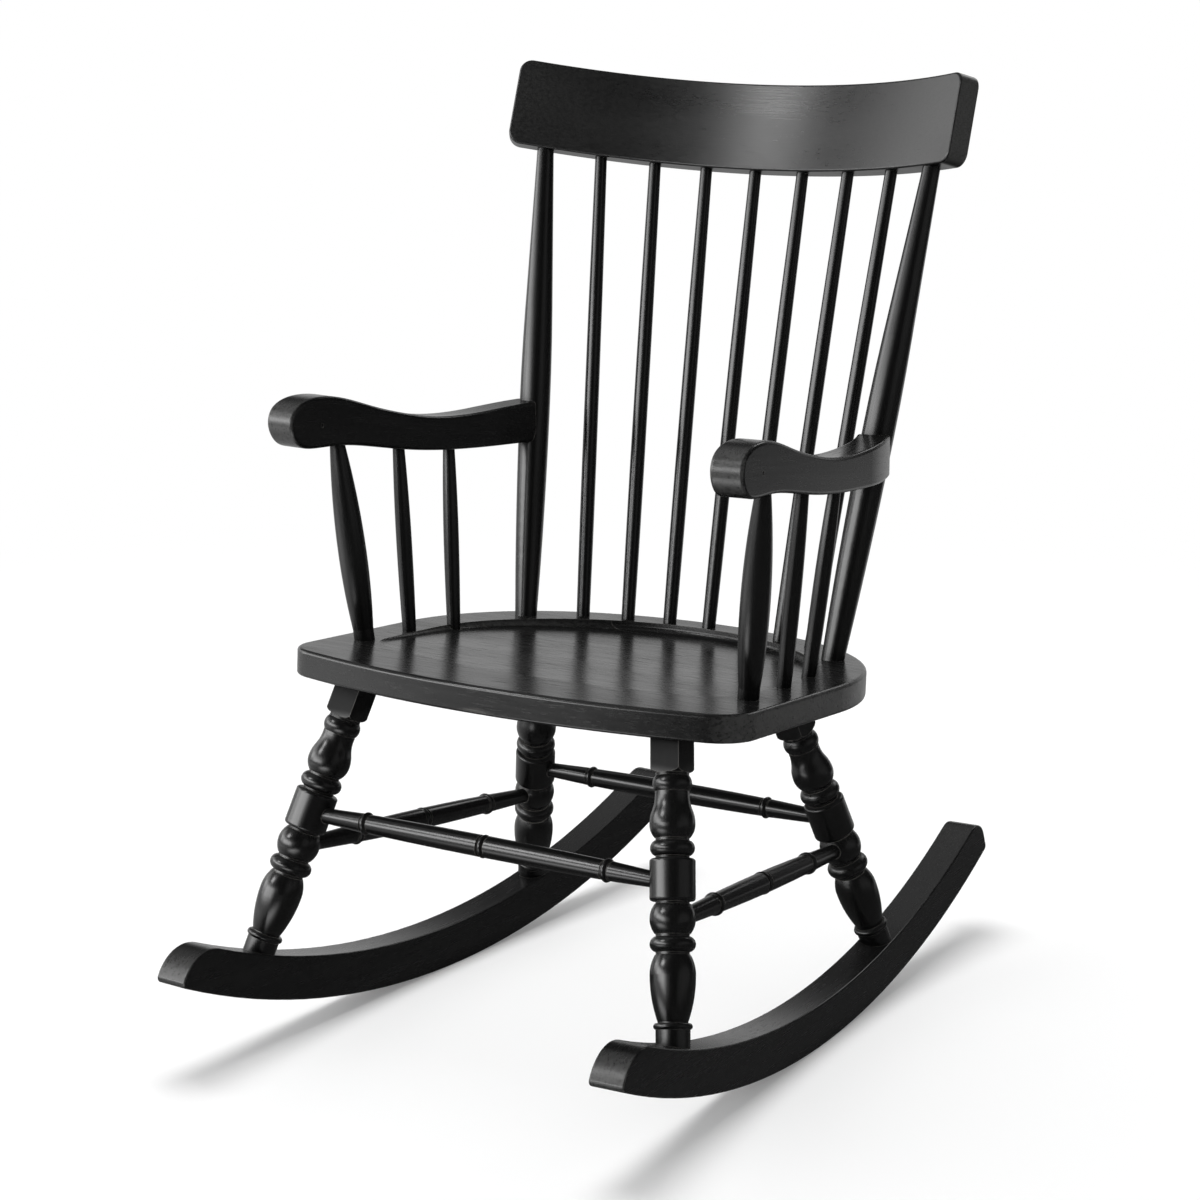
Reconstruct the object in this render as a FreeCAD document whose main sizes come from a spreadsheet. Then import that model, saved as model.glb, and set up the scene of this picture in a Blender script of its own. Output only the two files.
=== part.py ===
import FreeCAD, Part
import Sketcher
import math
import os
import re
from types import SimpleNamespace
from FreeCAD import Placement, Rotation, Vector

# Rocking chair with a comb back: a solid dished seat, four turned legs on two rockers,
# four turned stretchers, two outer back posts and seven spindles under a bent crest rail,
# and on each side an arm on one turned post and two thin spindles.
# The chair faces -Y. Right is the +X side, and the left side mirrors it. The origin is on
# the floor, under the middle of the chair's box. Lengths are in millimetres, angles in degrees.

doc = FreeCAD.newDocument("rocking_chair")

SIZES = {
    # Stance of the seat: the height of its top and the place of the back posts' line.
    "seat_height": 429.0,
    "post_line_y": 127.0,
    "seat_slope": 4.0,
    # Seat board, measured from the back posts' line.
    "seat_half_width": 304.5,
    "seat_front_reach": 427.0,
    "seat_rear_reach": 118.0,
    "seat_front_radius": 930.0,
    "seat_corner_radius": 52.0,
    "seat_shoulder_radius": 245.0,
    "seat_rear_radius": 403.0,
    "seat_thickness": 32.0,
    "seat_top_round": 4.5,
    "seat_under_round": 3.5,
    # Dish sunk in the seat's top, deepest at the rear and running out at the front.
    "dish_half_width": 251.0,
    "dish_front_reach": 341.0,
    "dish_rear_reach": 73.0,
    "dish_front_radius": 682.0,
    "dish_corner_radius": 60.0,
    "dish_shoulder_radius": 200.0,
    "dish_rear_radius": 260.0,
    "dish_depth": 12.0,
    "dish_cove": 7.0,
    # Rockers: a bottom arc about a level axis over the resting point.
    "rocker_radius": 1168.0,
    "rocker_depth": 52.5,
    "rocker_width": 42.0,
    "rocker_spread": 262.5,
    "rocker_toe": 3.15,
    "rocker_reach": 494.0,
    "rocker_rest_y": 11.1,
    "rocker_nose_round": 48.0,
    "rocker_tail_round": 30.0,
    "rocker_heel_round": 6.0,
    "rocker_edge_round": 2.2,
    # Places of the legs: tops under the seat, feet along the rockers.
    "front_leg_x": 212.0,
    "front_leg_reach": 358.0,
    "back_leg_x": 171.0,
    "back_leg_reach": 41.5,
    "front_foot_reach": 344.0,
    "back_foot_reach": 189.0,
    # Leg turning, from the foot upwards.
    "leg_radius": 25.0,
    "leg_neck_radius": 18.4,
    "leg_neck_length": 3.0,
    "foot_radius": 18.6,
    "foot_length": 17.0,
    "collar_length": 7.0,
    "collar_edge_radius": 18.8,
    "collar_radius": 21.2,
    "collar_neck_length": 1.4,
    "vase_foot_radius": 16.6,
    "vase_lower_length": 50.0,
    "vase_upper_length": 21.5,
    "vase_top_radius": 19.2,
    "ring_length": 16.3,
    "ring_edge_radius": 19.4,
    "ball_length": 32.0,
    "ball_edge_radius": 19.6,
    "barrel_length": 46.0,
    "barrel_edge_radius": 22.0,
    "barrel_ease": 3.4,
    "upper_ring_radius": 24.4,
    "bulb_lower_length": 14.8,
    "bulb_upper_length": 31.0,
    "bulb_neck_radius": 18.9,
    "bulb_neck_length": 4.5,
    "top_ring_length": 17.3,
    "top_ring_radius": 21.6,
    "block_width": 35.2,
    "block_ease": 9.5,
    "leg_tenon_radius": 10.0,
    "leg_tenon_length": 17.0,
    "foot_tenon_length": 26.0,
    # Stretchers: turned, with three beads, entering the legs a little below the middle
    # of the ball or barrel.
    "stretcher_end_radius": 9.0,
    "stretcher_shoulder_radius": 11.2,
    "stretcher_middle_radius": 12.6,
    "stretcher_bead_radius": 13.4,
    "stretcher_groove_radius": 10.2,
    "stretcher_bead_length": 5.6,
    "stretcher_groove_length": 2.4,
    "stretcher_tenon": 19.0,
    "stretcher_drop": 3.5,
    # Back posts and spindles: rows across the seat and under the crest rail.
    "post_half_spread": 218.5,
    "post_foot_radius": 13.7,
    "post_swell_radius": 19.2,
    "post_top_radius": 10.4,
    "post_seat_tenon": 24.0,
    "post_crest_tenon": 30.0,
    "post_crest_half_spread": 270.0,
    "spindle_seat_pitch": 54.5,
    "spindle_arc_radius": 400.0,
    "spindle_arc_reach": 83.0,
    "spindle_crest_pitch": 68.0,
    "spindle_foot_radius": 8.4,
    "spindle_swell_radius": 9.1,
    "spindle_top_radius": 7.4,
    "spindle_seat_tenon": 20.0,
    "spindle_crest_tenon": 20.0,
    # Crest rail, bent about an axis in front of it and tilted back, its ends cut square.
    "crest_rear": 316.0,
    "crest_foot_height": 979.7,
    "crest_tilt": 19.0,
    "crest_bend_radius": 600.0,
    "crest_thickness": 27.0,
    "crest_depth": 108.0,
    "crest_half_front": 306.0,
    "crest_corner_round": 16.0,
    "crest_edge_round": 2.5,
    # Arms, measured from the nose: straight at first, then bent in towards the back post.
    "arm_nose_x": 295.0,
    "arm_nose_y": 264.5,
    "arm_foot_height": 645.0,
    "arm_width": 39.5,
    "arm_rise": 102.5,
    "arm_straight": 362.0,
    "arm_bend_radius": 300.0,
    "arm_edge_round": 4.0,
    "arm_bite": 8.0,
    "arm_post_set": 97.0,
    "arm_spindle_front_set": 205.0,
    "arm_spindle_rear_set": 297.5,
    "arm_pin_set": 52.0,
    "arm_pin_rise": 69.0,
    "arm_pin_radius": 2.0,
    "arm_pin_recess": 0.8,
    # Arm posts and thin arm spindles: where they stand on the seat, and their turning.
    "arm_post_x": 262.0,
    "arm_post_reach": 281.0,
    "arm_spindle_front_x": 259.0,
    "arm_spindle_front_reach": 194.5,
    "arm_spindle_rear_x": 248.5,
    "arm_spindle_rear_reach": 116.0,
    "arm_post_foot_radius": 12.3,
    "arm_post_swell_radius": 16.8,
    "arm_post_top_radius": 8.8,
    "arm_spindle_foot_radius": 8.3,
    "arm_spindle_swell_radius": 9.5,
    "arm_spindle_top_radius": 7.2,
    "arm_post_tenon": 22.0,
    "arm_spindle_tenon": 18.0,
    # Wood screws and the wooden plugs that hide their heads.
    "screw_radius": 2.2,
    "screw_head_radius": 4.2,
    "screw_head_length": 3.4,
    "screw_tip_length": 4.0,
    "screw_tip_radius": 0.4,
    "arm_screw_length": 58.0,
    "rocker_screw_length": 36.0,
    "plug_radius": 5.0,
    "plug_length": 6.0,
    # Fits: glue line round a tenon, air at the bottom of a socket, and cutting overrun.
    "glue_line": 0.1,
    "socket_end_gap": 0.5,
    "overrun": 10.0,
}

# Shares of the visible length of a turned piece, and of the leg block's width.
SHARES = {
    "post_swell_share": 0.46,
    "post_shoulder_share": 0.20,
    "spindle_swell_share": 0.33,
    "arm_post_foot_share": 0.06,
    "arm_post_swell_share": 0.44,
    "arm_spindle_swell_share": 0.47,
    "front_bead_share": 0.13,
    "back_bead_share": 0.165,
    "side_bead_share": 0.19,
    "block_turn_share": 0.75,
}

# Arm outline in the side view: shares of the arm's length and of its rise.
ARM_TOP_SHARES = (
    (1.0, 0.487), (0.86, 0.47), (0.72, 0.472), (0.58, 0.522), (0.45, 0.635), (0.33, 0.777),
    (0.23, 0.914), (0.155, 0.986), (0.098, 1.0), (0.045, 0.965), (0.012, 0.88), (0.0, 0.75),
)
ARM_UNDER_SHARES = (
    (0.008, 0.6), (0.034, 0.48), (0.08, 0.427), (0.14, 0.414), (0.22, 0.386), (0.32, 0.311),
    (0.465, 0.191), (0.6, 0.107), (0.75, 0.045), (0.88, 0.008), (1.0, 0.0),
)

UP = Vector(0, 0, 1)
ACROSS = Vector(1, 0, 0)
SPINDLE_COUNT = 7
# Two places nearer than this are the same place.
NEAR = 1e-4


def fill_sheet():
    """Puts every size in a cell of its own, under its name."""
    cells = doc.addObject("Spreadsheet::Sheet", "Sizes")
    for row, (name, size) in enumerate({**SIZES, **SHARES}.items(), start=1):
        cells.set(f"A{row}", name)
        cells.set(f"B{row}", str(size))
        cells.setAlias(f"B{row}", name)
    doc.recompute()
    return cells


sheet = fill_sheet()
NAMES = set(SIZES) | set(SHARES)
s = SimpleNamespace(**{name: float(sheet.get(name)) for name in NAMES})


def cell(formula):
    """The formula with each size's name led by the sheet's name."""
    return re.sub(r"[a-z_]+", lambda word: "Sizes." + word[0] if word[0] in NAMES else word[0], formula)


def number(formula):
    """The formula's value, as the sheet works it out."""
    return float(sheet.evalExpression(cell(formula)))


def arc_drop(radius, half_chord):
    """How far an arc drops from its crown at half_chord from its middle."""
    return radius - math.sqrt(radius ** 2 - half_chord ** 2)


# Frames that several pieces share: the seat's, the crest rail's and the right rocker's.
seat_place = Placement(Vector(0, s.post_line_y, s.seat_height), Rotation(ACROSS, -s.seat_slope))
crest_place = Placement(Vector(0, s.crest_rear, s.crest_foot_height), Rotation(ACROSS, -s.crest_tilt))
rocker_place = Placement(Vector(s.rocker_spread, 0, 0), Rotation(UP, s.rocker_toe))


def seat_point(x, y, z=0.0):
    """Point of the seat's own frame: x across, y to the rear, z up from its top."""
    return seat_place.multVec(Vector(x, y, z))


def crest_point(x):
    """Point in the middle of the crest rail's underside."""
    return crest_place.multVec(Vector(x, -arc_drop(s.crest_bend_radius, x), 0))


def rocker_top(y):
    """Point on the middle of the right rocker's top edge."""
    rise = s.rocker_depth + arc_drop(s.rocker_radius - s.rocker_depth, y - s.rocker_rest_y)
    return rocker_place.multVec(Vector(0, y, rise))


def new_sketch(body, role, label):
    """Sketch on one of the body's own origin planes."""
    sketch = body.newObject("Sketcher::SketchObject", label)
    plane = next(item for item in body.Origin.OriginFeatures if item.Role == role)
    sketch.AttachmentSupport = [(plane, "")]
    sketch.MapMode = "FlatFace"
    return sketch


def arc(x, y, radius, forward=True):
    """Arc about x, y: forward when it runs anticlockwise along its outline."""
    return SimpleNamespace(x=x, y=y, radius=radius, forward=forward)


def draw_outline(sketch, corners):
    """Closed outline of (x, y, arc or None) rows: what leaves each corner is an arc or a line."""
    edges = []
    ends = []
    points = [Vector(number(x), number(y), 0) for x, y, bend in corners]
    for start, stop, (x, y, bend) in zip(points, points[1:] + points[:1], corners):
        if bend is None:
            edges.append(Part.LineSegment(start, stop))
            ends.append((1, 2))
            continue
        middle = Vector(number(bend.x), number(bend.y), 0)
        circle = Part.Circle(middle, UP, middle.distanceToPoint(start))
        first, last = (start, stop) if bend.forward else (stop, start)
        angles = [math.atan2(spot.y - middle.y, spot.x - middle.x) for spot in (first, last)]
        edges.append(Part.ArcOfCircle(circle, *angles))
        ends.append((1, 2) if bend.forward else (2, 1))
    sketch.addGeometry(edges)
    ties = []
    formulas = {}
    for edge, (x, y, bend) in enumerate(corners):
        start, stop = ends[edge]
        after = (edge + 1) % len(corners)
        ties.append(Sketcher.Constraint("Coincident", edge, stop, after, ends[after][0]))
        for kind, axis, formula in (("DistanceX", -2, x), ("DistanceY", -1, y)):
            amount = number(formula)
            if abs(amount) < NEAR:
                ties.append(Sketcher.Constraint("PointOnObject", edge, start, axis))
                continue
            formulas[len(ties)] = formula
            ties.append(Sketcher.Constraint(kind, -1, 1, edge, start, amount))
        if bend is not None:
            formulas[len(ties)] = bend.radius
            ties.append(Sketcher.Constraint("Radius", edge, number(bend.radius)))
    sketch.addConstraint(ties)
    for index, formula in formulas.items():
        sketch.setExpression(f"Constraints[{index}]", cell(formula))


def turning_corners(rows):
    """Corners of a half profile from (shape, length, lower radius, upper radius) rows."""
    corners = [("0", "0", None)]
    base = "0"
    reached = "0"
    for shape, length, low, high in rows:
        top = f"{base} + {length}"
        if reached != "0" and number(reached) != number(low):
            corners.append((reached, base, None))
        if shape == "line":
            corners.append((low, base, None))
        elif shape == "bead":
            # A bead bulges to its second radius half way up and ends as it began.
            bulge = f"(({length}) ^ 2 / 4 + ({high} - ({low})) ^ 2) / (2 * ({high} - ({low})))"
            corners.append((low, base, arc(f"{high} - {bulge}", f"{base} + ({length}) / 2", bulge)))
            high = low
        else:
            # A rise is upright at its upper end, a fall at its lower end.
            bulge = f"(({length}) ^ 2 + ({high} - ({low})) ^ 2) / (2 * sqrt(({high} - ({low})) ^ 2))"
            upright, level = (high, top) if shape == "rise" else (low, base)
            convex = (number(high) > number(low)) == (shape == "rise")
            across = f"{upright} - {bulge}" if convex else f"{upright} + {bulge}"
            corners.append((low, base, arc(across, level, bulge, convex)))
        base = top
        reached = high
    corners.append((reached, base, None))
    corners.append(("0", base, None))
    return corners


def turned(label, rows, start, heading):
    """Turned piece: its half profile revolved about the line from start along heading."""
    body = doc.addObject("PartDesign::Body", label)
    sketch = new_sketch(body, "XZ_Plane", label + "_profile")
    draw_outline(sketch, turning_corners(rows))
    spin = body.newObject("PartDesign::Revolution", label + "_spin")
    spin.Profile = sketch
    spin.ReferenceAxis = (sketch, ["V_Axis"])
    spin.Angle = 360.0
    body.Placement = Placement(start, Rotation(ACROSS, Vector(), heading, "ZXY"))
    return body


def cylinder(label, radius, start, stop):
    """Round bar from start to stop, its radius a formula of the sheet."""
    bar = doc.addObject("Part::Cylinder", label)
    bar.setExpression("Radius", cell(radius))
    bar.Height = start.distanceToPoint(stop)
    bar.Placement = Placement(start, Rotation(UP, stop - start))
    return bar


def box(label, length, width, height, place):
    """Box whose three sizes are formulas of the sheet."""
    block = doc.addObject("Part::Box", label)
    for side, formula in (("Length", length), ("Width", width), ("Height", height)):
        block.setExpression(side, cell(formula))
    block.Placement = place
    return block


def joined(label, members):
    """All members fused, or the only one."""
    if len(members) == 1:
        return members[0]
    fuse = doc.addObject("Part::MultiFuse", label)
    fuse.Shapes = members
    return fuse


def cut(label, base, tools):
    """The base with every tool taken away."""
    result = doc.addObject("Part::Cut", label)
    result.Base = base
    result.Tool = joined(label + "_tools", tools)
    return result


def common(label, base, tool):
    """What the base and the tool share."""
    result = doc.addObject("Part::Common", label)
    result.Base = base
    result.Tool = tool
    return result


def mirrored(label, piece):
    """The same piece on the chair's other side."""
    copy = doc.addObject("Part::Mirroring", label)
    copy.Source = piece
    copy.Normal = ACROSS
    return copy


def group(label, members):
    """Like small pieces kept as separate solids under one name."""
    result = doc.addObject("Part::Compound", label)
    result.Links = members
    return result


def fillet(body, radius, wanted, label):
    """Rounds the wanted edges of the body's last feature."""
    doc.recompute()
    last = body.Tip
    names = [f"Edge{i}" for i, edge in enumerate(last.Shape.Edges, start=1) if wanted(edge)]
    feature = body.newObject("PartDesign::Fillet", label)
    feature.Base = (last, names)
    feature.setExpression("Radius", cell(radius))


def spread(edge, side):
    """Size of an edge's box along X, Y or Z."""
    return getattr(edge.BoundBox, side + "Max") - getattr(edge.BoundBox, side + "Min")


def rod(label, rows, low, high, tenons, radii):
    """Turned rod between two points, with a plain tenon beyond each of them."""
    axis = (high - low).normalize()
    full = [("line", tenons[0], radii[0], radii[0]), *rows, ("line", tenons[1], radii[1], radii[1])]
    body = turned(label, full, low - axis * number(tenons[0]), axis)
    return SimpleNamespace(label=label, body=body, low=low, high=high, axis=axis, tenons=tenons, radii=radii)


def socket(label, radius, mouth, heading, depth):
    """Blind hole for a tenon, from outside its mouth to just past the tenon's end."""
    bottom = mouth + heading * (number(depth) + s.socket_end_gap)
    return cylinder(label, f"{radius} + glue_line", mouth - heading * s.overrun, bottom)


def low_socket(piece):
    """Hole for a rod's lower tenon."""
    return socket(piece.label + "_low_socket", piece.radii[0], piece.low, piece.axis * -1, piece.tenons[0])


def high_socket(piece):
    """Hole for a rod's upper tenon."""
    return socket(piece.label + "_high_socket", piece.radii[1], piece.high, piece.axis, piece.tenons[1])


def board_corners(name):
    """Corners of a seat-shaped outline, all of its arcs running smoothly into each other."""
    half, corner, shoulder = f"{name}_half_width", f"{name}_corner_radius", f"{name}_shoulder_radius"
    front, rear = f"{name}_front_radius", f"{name}_rear_radius"
    front_middle = f"({front} - {name}_front_reach)"
    rear_middle = f"({name}_rear_reach - {rear})"
    corner_x = f"({half} - {corner})"
    corner_y = f"({front_middle} - sqrt(({front} - {corner}) ^ 2 - {corner_x} ^ 2))"
    shoulder_x = f"({half} - {shoulder})"
    shoulder_y = f"({rear_middle} + sqrt(({rear} - {shoulder}) ^ 2 - {shoulder_x} ^ 2))"
    front_part = f"({front} / ({front} - {corner}))"
    rear_part = f"({rear} / ({rear} - {shoulder}))"
    front_x = f"{corner_x} * {front_part}"
    front_y = f"{front_middle} + ({corner_y} - {front_middle}) * {front_part}"
    rear_x = f"{shoulder_x} * {rear_part}"
    rear_y = f"{rear_middle} + ({shoulder_y} - {rear_middle}) * {rear_part}"
    return [
        (f"-{front_x}", front_y, arc("0", front_middle, front)),
        (front_x, front_y, arc(corner_x, corner_y, corner)),
        (half, corner_y, None),
        (half, shoulder_y, arc(shoulder_x, shoulder_y, shoulder)),
        (rear_x, rear_y, arc("0", rear_middle, rear)),
        (f"-{rear_x}", rear_y, arc(f"-{shoulder_x}", shoulder_y, shoulder)),
        (f"-{half}", shoulder_y, None),
        (f"-{half}", corner_y, arc(f"-{corner_x}", corner_y, corner)),
    ]


def board(label, name, upwards):
    """Seat-shaped board on its own XY plane, as thick as the seat."""
    body = doc.addObject("PartDesign::Body", label)
    sketch = new_sketch(body, "XY_Plane", label + "_outline")
    draw_outline(sketch, board_corners(name))
    pad = body.newObject("PartDesign::Pad", label + "_pad")
    pad.Profile = sketch
    pad.setExpression("Length", cell("seat_thickness"))
    pad.Reversed = not upwards
    return body


def seat_board():
    """Seat before its dish and sockets, with rounded arrises."""
    body = board("seat_board", "seat", False)
    for radius, height in (("seat_top_round", 0.0), ("seat_under_round", -s.seat_thickness)):
        def on_face(edge, height=height):
            return spread(edge, "Z") < NEAR and abs(edge.BoundBox.ZMin - height) < NEAR
        fillet(body, radius, on_face, radius + "ing")
    body.Placement = seat_place
    return body


def seat_dish():
    """Cutter for the dish: a board with a coved lower edge, tipped down to the rear."""
    body = board("seat_dish", "dish", True)
    fillet(body, "dish_cove", lambda edge: abs(edge.BoundBox.ZMax) < NEAR, "dish_coving")
    tip = math.degrees(math.atan2(s.dish_depth, s.dish_front_reach + s.dish_rear_reach))
    hinge = Vector(0, -s.dish_front_reach, 0)
    body.Placement = seat_place * Placement(Vector(), Rotation(ACROSS, -tip), hinge)
    return body


def rocker_board():
    """Right rocker before its holes: one thick arc with a rounded nose and tail."""
    body = doc.addObject("PartDesign::Body", "rocker_board")
    sketch = new_sketch(body, "YZ_Plane", "rocker_outline")
    top = "(rocker_radius - rocker_depth)"
    spots = []
    for sign in ("-", ""):
        reach = f"({sign}rocker_reach - rocker_rest_y)"
        drop = f"sqrt(rocker_radius ^ 2 - {reach} ^ 2)"
        spots.append((f"rocker_rest_y + {reach}", f"rocker_radius - {drop}"))
        inner = f"{top} / rocker_radius"
        spots.append((f"rocker_rest_y + {reach} * {inner}", f"rocker_radius - {drop} * {inner}"))
    toe, nose, heel, tail = spots
    draw_outline(sketch, [
        (*toe, arc("rocker_rest_y", "rocker_radius", "rocker_radius")),
        (*heel, None),
        (*tail, arc("rocker_rest_y", "rocker_radius", top, False)),
        (*nose, None),
    ])
    pad = body.newObject("PartDesign::Pad", "rocker_pad")
    pad.Profile = sketch
    pad.setExpression("Length", cell("rocker_width"))
    pad.Midplane = True
    corners = (("rocker_nose_round", nose), ("rocker_tail_round", tail), ("rocker_heel_round", heel),
               ("rocker_heel_round", toe))
    for index, (radius, place) in enumerate(corners):
        def crosses(edge, y=number(place[0]), z=number(place[1])):
            middle = edge.BoundBox.Center
            return spread(edge, "Y") + spread(edge, "Z") + abs(middle.y - y) + abs(middle.z - z) < NEAR
        fillet(body, radius, crosses, f"rocker_corner_{index}")
    fillet(body, "rocker_edge_round", on_sides(s.rocker_width / 2), "rocker_arris")
    body.Placement = rocker_place
    return body


def on_sides(half):
    """Test for the edges that lie in a body's two side faces."""
    def lies_there(edge):
        return spread(edge, "X") < NEAR and abs(abs(edge.BoundBox.XMin) - half) < NEAR
    return lies_there


BARREL_LENGTH = "barrel_length - 2 * barrel_ease"


def leg_rows(block_length):
    """Turning of a leg from below its foot to the square block, of computed length, on top."""
    neck = ("line", "leg_neck_length", "leg_neck_radius", "leg_neck_radius")
    ring = ("bead", "ring_length", "ring_edge_radius", "leg_radius")
    half_bulb = "(leg_radius + bulb_neck_radius) / 2"
    block = "block_width * block_turn_share"
    return [
        ("line", "leg_radius + foot_length", "foot_radius", "collar_edge_radius"),
        ("bead", "collar_length", "collar_edge_radius", "collar_radius"),
        ("line", "collar_neck_length", "vase_foot_radius", "vase_foot_radius"),
        ("rise", "vase_lower_length", "vase_foot_radius", "leg_radius"),
        ("fall", "vase_upper_length", "leg_radius", "vase_top_radius"),
        neck,
        ring,
        neck,
        ("bead", "ball_length", "ball_edge_radius", "leg_radius"),
        neck,
        ("rise", "barrel_ease", "barrel_edge_radius", "leg_radius"),
        ("line", BARREL_LENGTH, "leg_radius", "leg_radius"),
        ("fall", "barrel_ease", "leg_radius", "barrel_edge_radius"),
        neck,
        ("bead", "ring_length", "ring_edge_radius", "upper_ring_radius"),
        neck,
        ("rise", "bulb_lower_length", "ring_edge_radius", "leg_radius"),
        ("fall", "bulb_upper_length / 2", "leg_radius", half_bulb),
        ("rise", "bulb_upper_length / 2", half_bulb, "bulb_neck_radius"),
        ("line", "bulb_neck_length", "bulb_neck_radius", "bulb_neck_radius"),
        ("bead", "top_ring_length", "leg_neck_radius", "top_ring_radius"),
        neck,
        ("rise", "block_ease", "leg_neck_radius", block),
        ("line", block_length, block, block),
    ]


def height_on_leg(part):
    """Height above the foot of the middle of the part of the turning that has that length."""
    lengths = [length for shape, length, low, high in leg_rows("0")]
    below = lengths[:lengths.index(part)]
    return sum(number(length) for length in below) + number(part) / 2 - s.leg_radius


def leg_frame(leg_x, leg_reach, foot_y):
    """Ends and axis of a leg: foot on the rocker's top edge, top on the seat's underside."""
    foot = rocker_top(foot_y)
    top = seat_point(leg_x, -leg_reach, -s.seat_thickness)
    axis = (top - foot).normalize()
    return SimpleNamespace(
        foot=foot, top=top, axis=axis,
        ball=foot + axis * (height_on_leg("ball_length") - s.stretcher_drop),
        barrel=foot + axis * (height_on_leg(BARREL_LENGTH) - s.stretcher_drop))


def leg_room():
    """Space that the legs fill: inside the rocker's top arc and below the seat's underside."""
    middle = rocker_place.multVec(Vector(-s.seat_half_width, s.rocker_rest_y, s.rocker_radius))
    far = rocker_place.multVec(Vector(s.seat_half_width, s.rocker_rest_y, s.rocker_radius))
    over_rocker = cylinder("over_rocker", "rocker_radius - rocker_depth", middle, far)
    corner = Placement(Vector(0, -s.seat_front_reach, -s.seat_thickness), Rotation())
    seat_waste = box("seat_waste", "seat_half_width", "seat_front_reach + seat_rear_reach",
                     "rocker_radius", seat_place * corner)
    return cut("leg_room", over_rocker, [seat_waste])


def leg_blank(name, frame, room):
    """Leg with a square block, scribed to the seat and the rocker, with a tenon at each end."""
    turned_length = sum(number(length) for shape, length, low, high in leg_rows("0"))
    block_length = frame.foot.distanceToPoint(frame.top) + 2 * s.leg_radius - turned_length
    turning = turned(name + "_turning", leg_rows(f"{block_length}"),
                     frame.foot - frame.axis * s.leg_radius, frame.axis)
    blocks = []
    for label, width in (("waste", "leg_radius * 4"), ("square", "block_width")):
        half = number(width) / 2
        corner = Placement(Vector(-half, -half, turned_length - s.block_ease), Rotation())
        height = f"{block_length} + block_ease"
        blocks.append(box(f"{name}_{label}", width, width, height, turning.Placement * corner))
    flats = cut(name + "_flats", blocks[0], [blocks[1]])
    squared = cut(name + "_squared", turning, [flats])
    scribed = common(name + "_scribed", squared, room)
    # The tenons start inside the leg, so that they grow out of sound wood.
    top_tenon = cylinder(name + "_top_tenon", "leg_tenon_radius",
                         frame.top - frame.axis * s.leg_radius, frame.top + frame.axis * s.leg_tenon_length)
    tip = frame.foot - frame.axis * s.foot_tenon_length
    foot_tenon = cylinder(name + "_foot_tenon", "leg_tenon_radius", tip, frame.foot + frame.axis * s.leg_radius)
    return joined(name + "_blank", [scribed, top_tenon, foot_tenon])


def stretcher_rows(length, bead_share):
    """Turning of a stretcher of computed length: two tapered ends, three beads, a swell."""
    bead_span = "(stretcher_bead_length + 2 * stretcher_groove_length)"
    end = f"({length} * {bead_share} - {bead_span} / 2)"
    half = f"({length} / 2 - {end} - {bead_span} * 1.5)"
    groove = ("line", "stretcher_groove_length", "stretcher_groove_radius", "stretcher_groove_radius")
    bead = [groove,
            ("bead", "stretcher_bead_length", "stretcher_shoulder_radius", "stretcher_bead_radius"),
            groove]
    return [
        ("line", end, "stretcher_end_radius", "stretcher_shoulder_radius"),
        *bead,
        ("rise", half, "stretcher_shoulder_radius", "stretcher_middle_radius"),
        *bead,
        ("fall", half, "stretcher_middle_radius", "stretcher_shoulder_radius"),
        *bead,
        ("line", end, "stretcher_shoulder_radius", "stretcher_end_radius"),
    ]


def stretcher(name, start, stop, bead_share):
    """Stretcher between two legs' axes, with tenons that end short of those axes."""
    axis = (stop - start).normalize()
    low = start + axis * s.leg_radius
    high = stop - axis * s.leg_radius
    rows = stretcher_rows(f"{low.distanceToPoint(high)}", bead_share)
    return rod(name, rows, low, high, ["stretcher_tenon"] * 2, ["stretcher_end_radius"] * 2)


def swelled_rows(length, share, foot, swell, top):
    """Rod that swells from foot to swell and falls away to its top."""
    lower = f"({length} * {share})"
    return [("rise", lower, foot, swell), ("fall", f"({length} - {lower})", swell, top)]


def back_spindle(index):
    """One of the back spindles, counted from the left."""
    step = index - (SPINDLE_COUNT + 1) / 2
    x = step * s.spindle_seat_pitch
    low = seat_point(x, s.spindle_arc_reach - arc_drop(s.spindle_arc_radius, x))
    high = crest_point(step * s.spindle_crest_pitch)
    rows = swelled_rows(f"{low.distanceToPoint(high)}", "spindle_swell_share",
                        "spindle_foot_radius", "spindle_swell_radius", "spindle_top_radius")
    return rod(f"back_spindle_{index}", rows, low, high, ("spindle_seat_tenon", "spindle_crest_tenon"),
               ("spindle_foot_radius", "spindle_top_radius"))


def back_post():
    """Right back post: a long vase swelling above the seat and tapering to the crest rail."""
    low = seat_point(s.post_half_spread, 0)
    high = crest_point(s.post_crest_half_spread)
    length = f"{low.distanceToPoint(high)}"
    lower = f"({length} * post_swell_share)"
    shoulder = f"({length} * post_shoulder_share)"
    upper = f"({length} - {lower} - {shoulder})"
    # The round shoulder runs straight on into the long taper.
    drop = f"(post_swell_radius - post_top_radius) * {shoulder} / (2 * {upper} + {shoulder})"
    rows = [
        ("rise", lower, "post_foot_radius", "post_swell_radius"),
        ("fall", shoulder, "post_swell_radius", f"(post_swell_radius - {drop})"),
        ("line", upper, f"(post_swell_radius - {drop})", "post_top_radius"),
    ]
    return rod("back_post_right", rows, low, high, ("post_seat_tenon", "post_crest_tenon"),
               ("post_foot_radius", "post_top_radius"))


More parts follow.
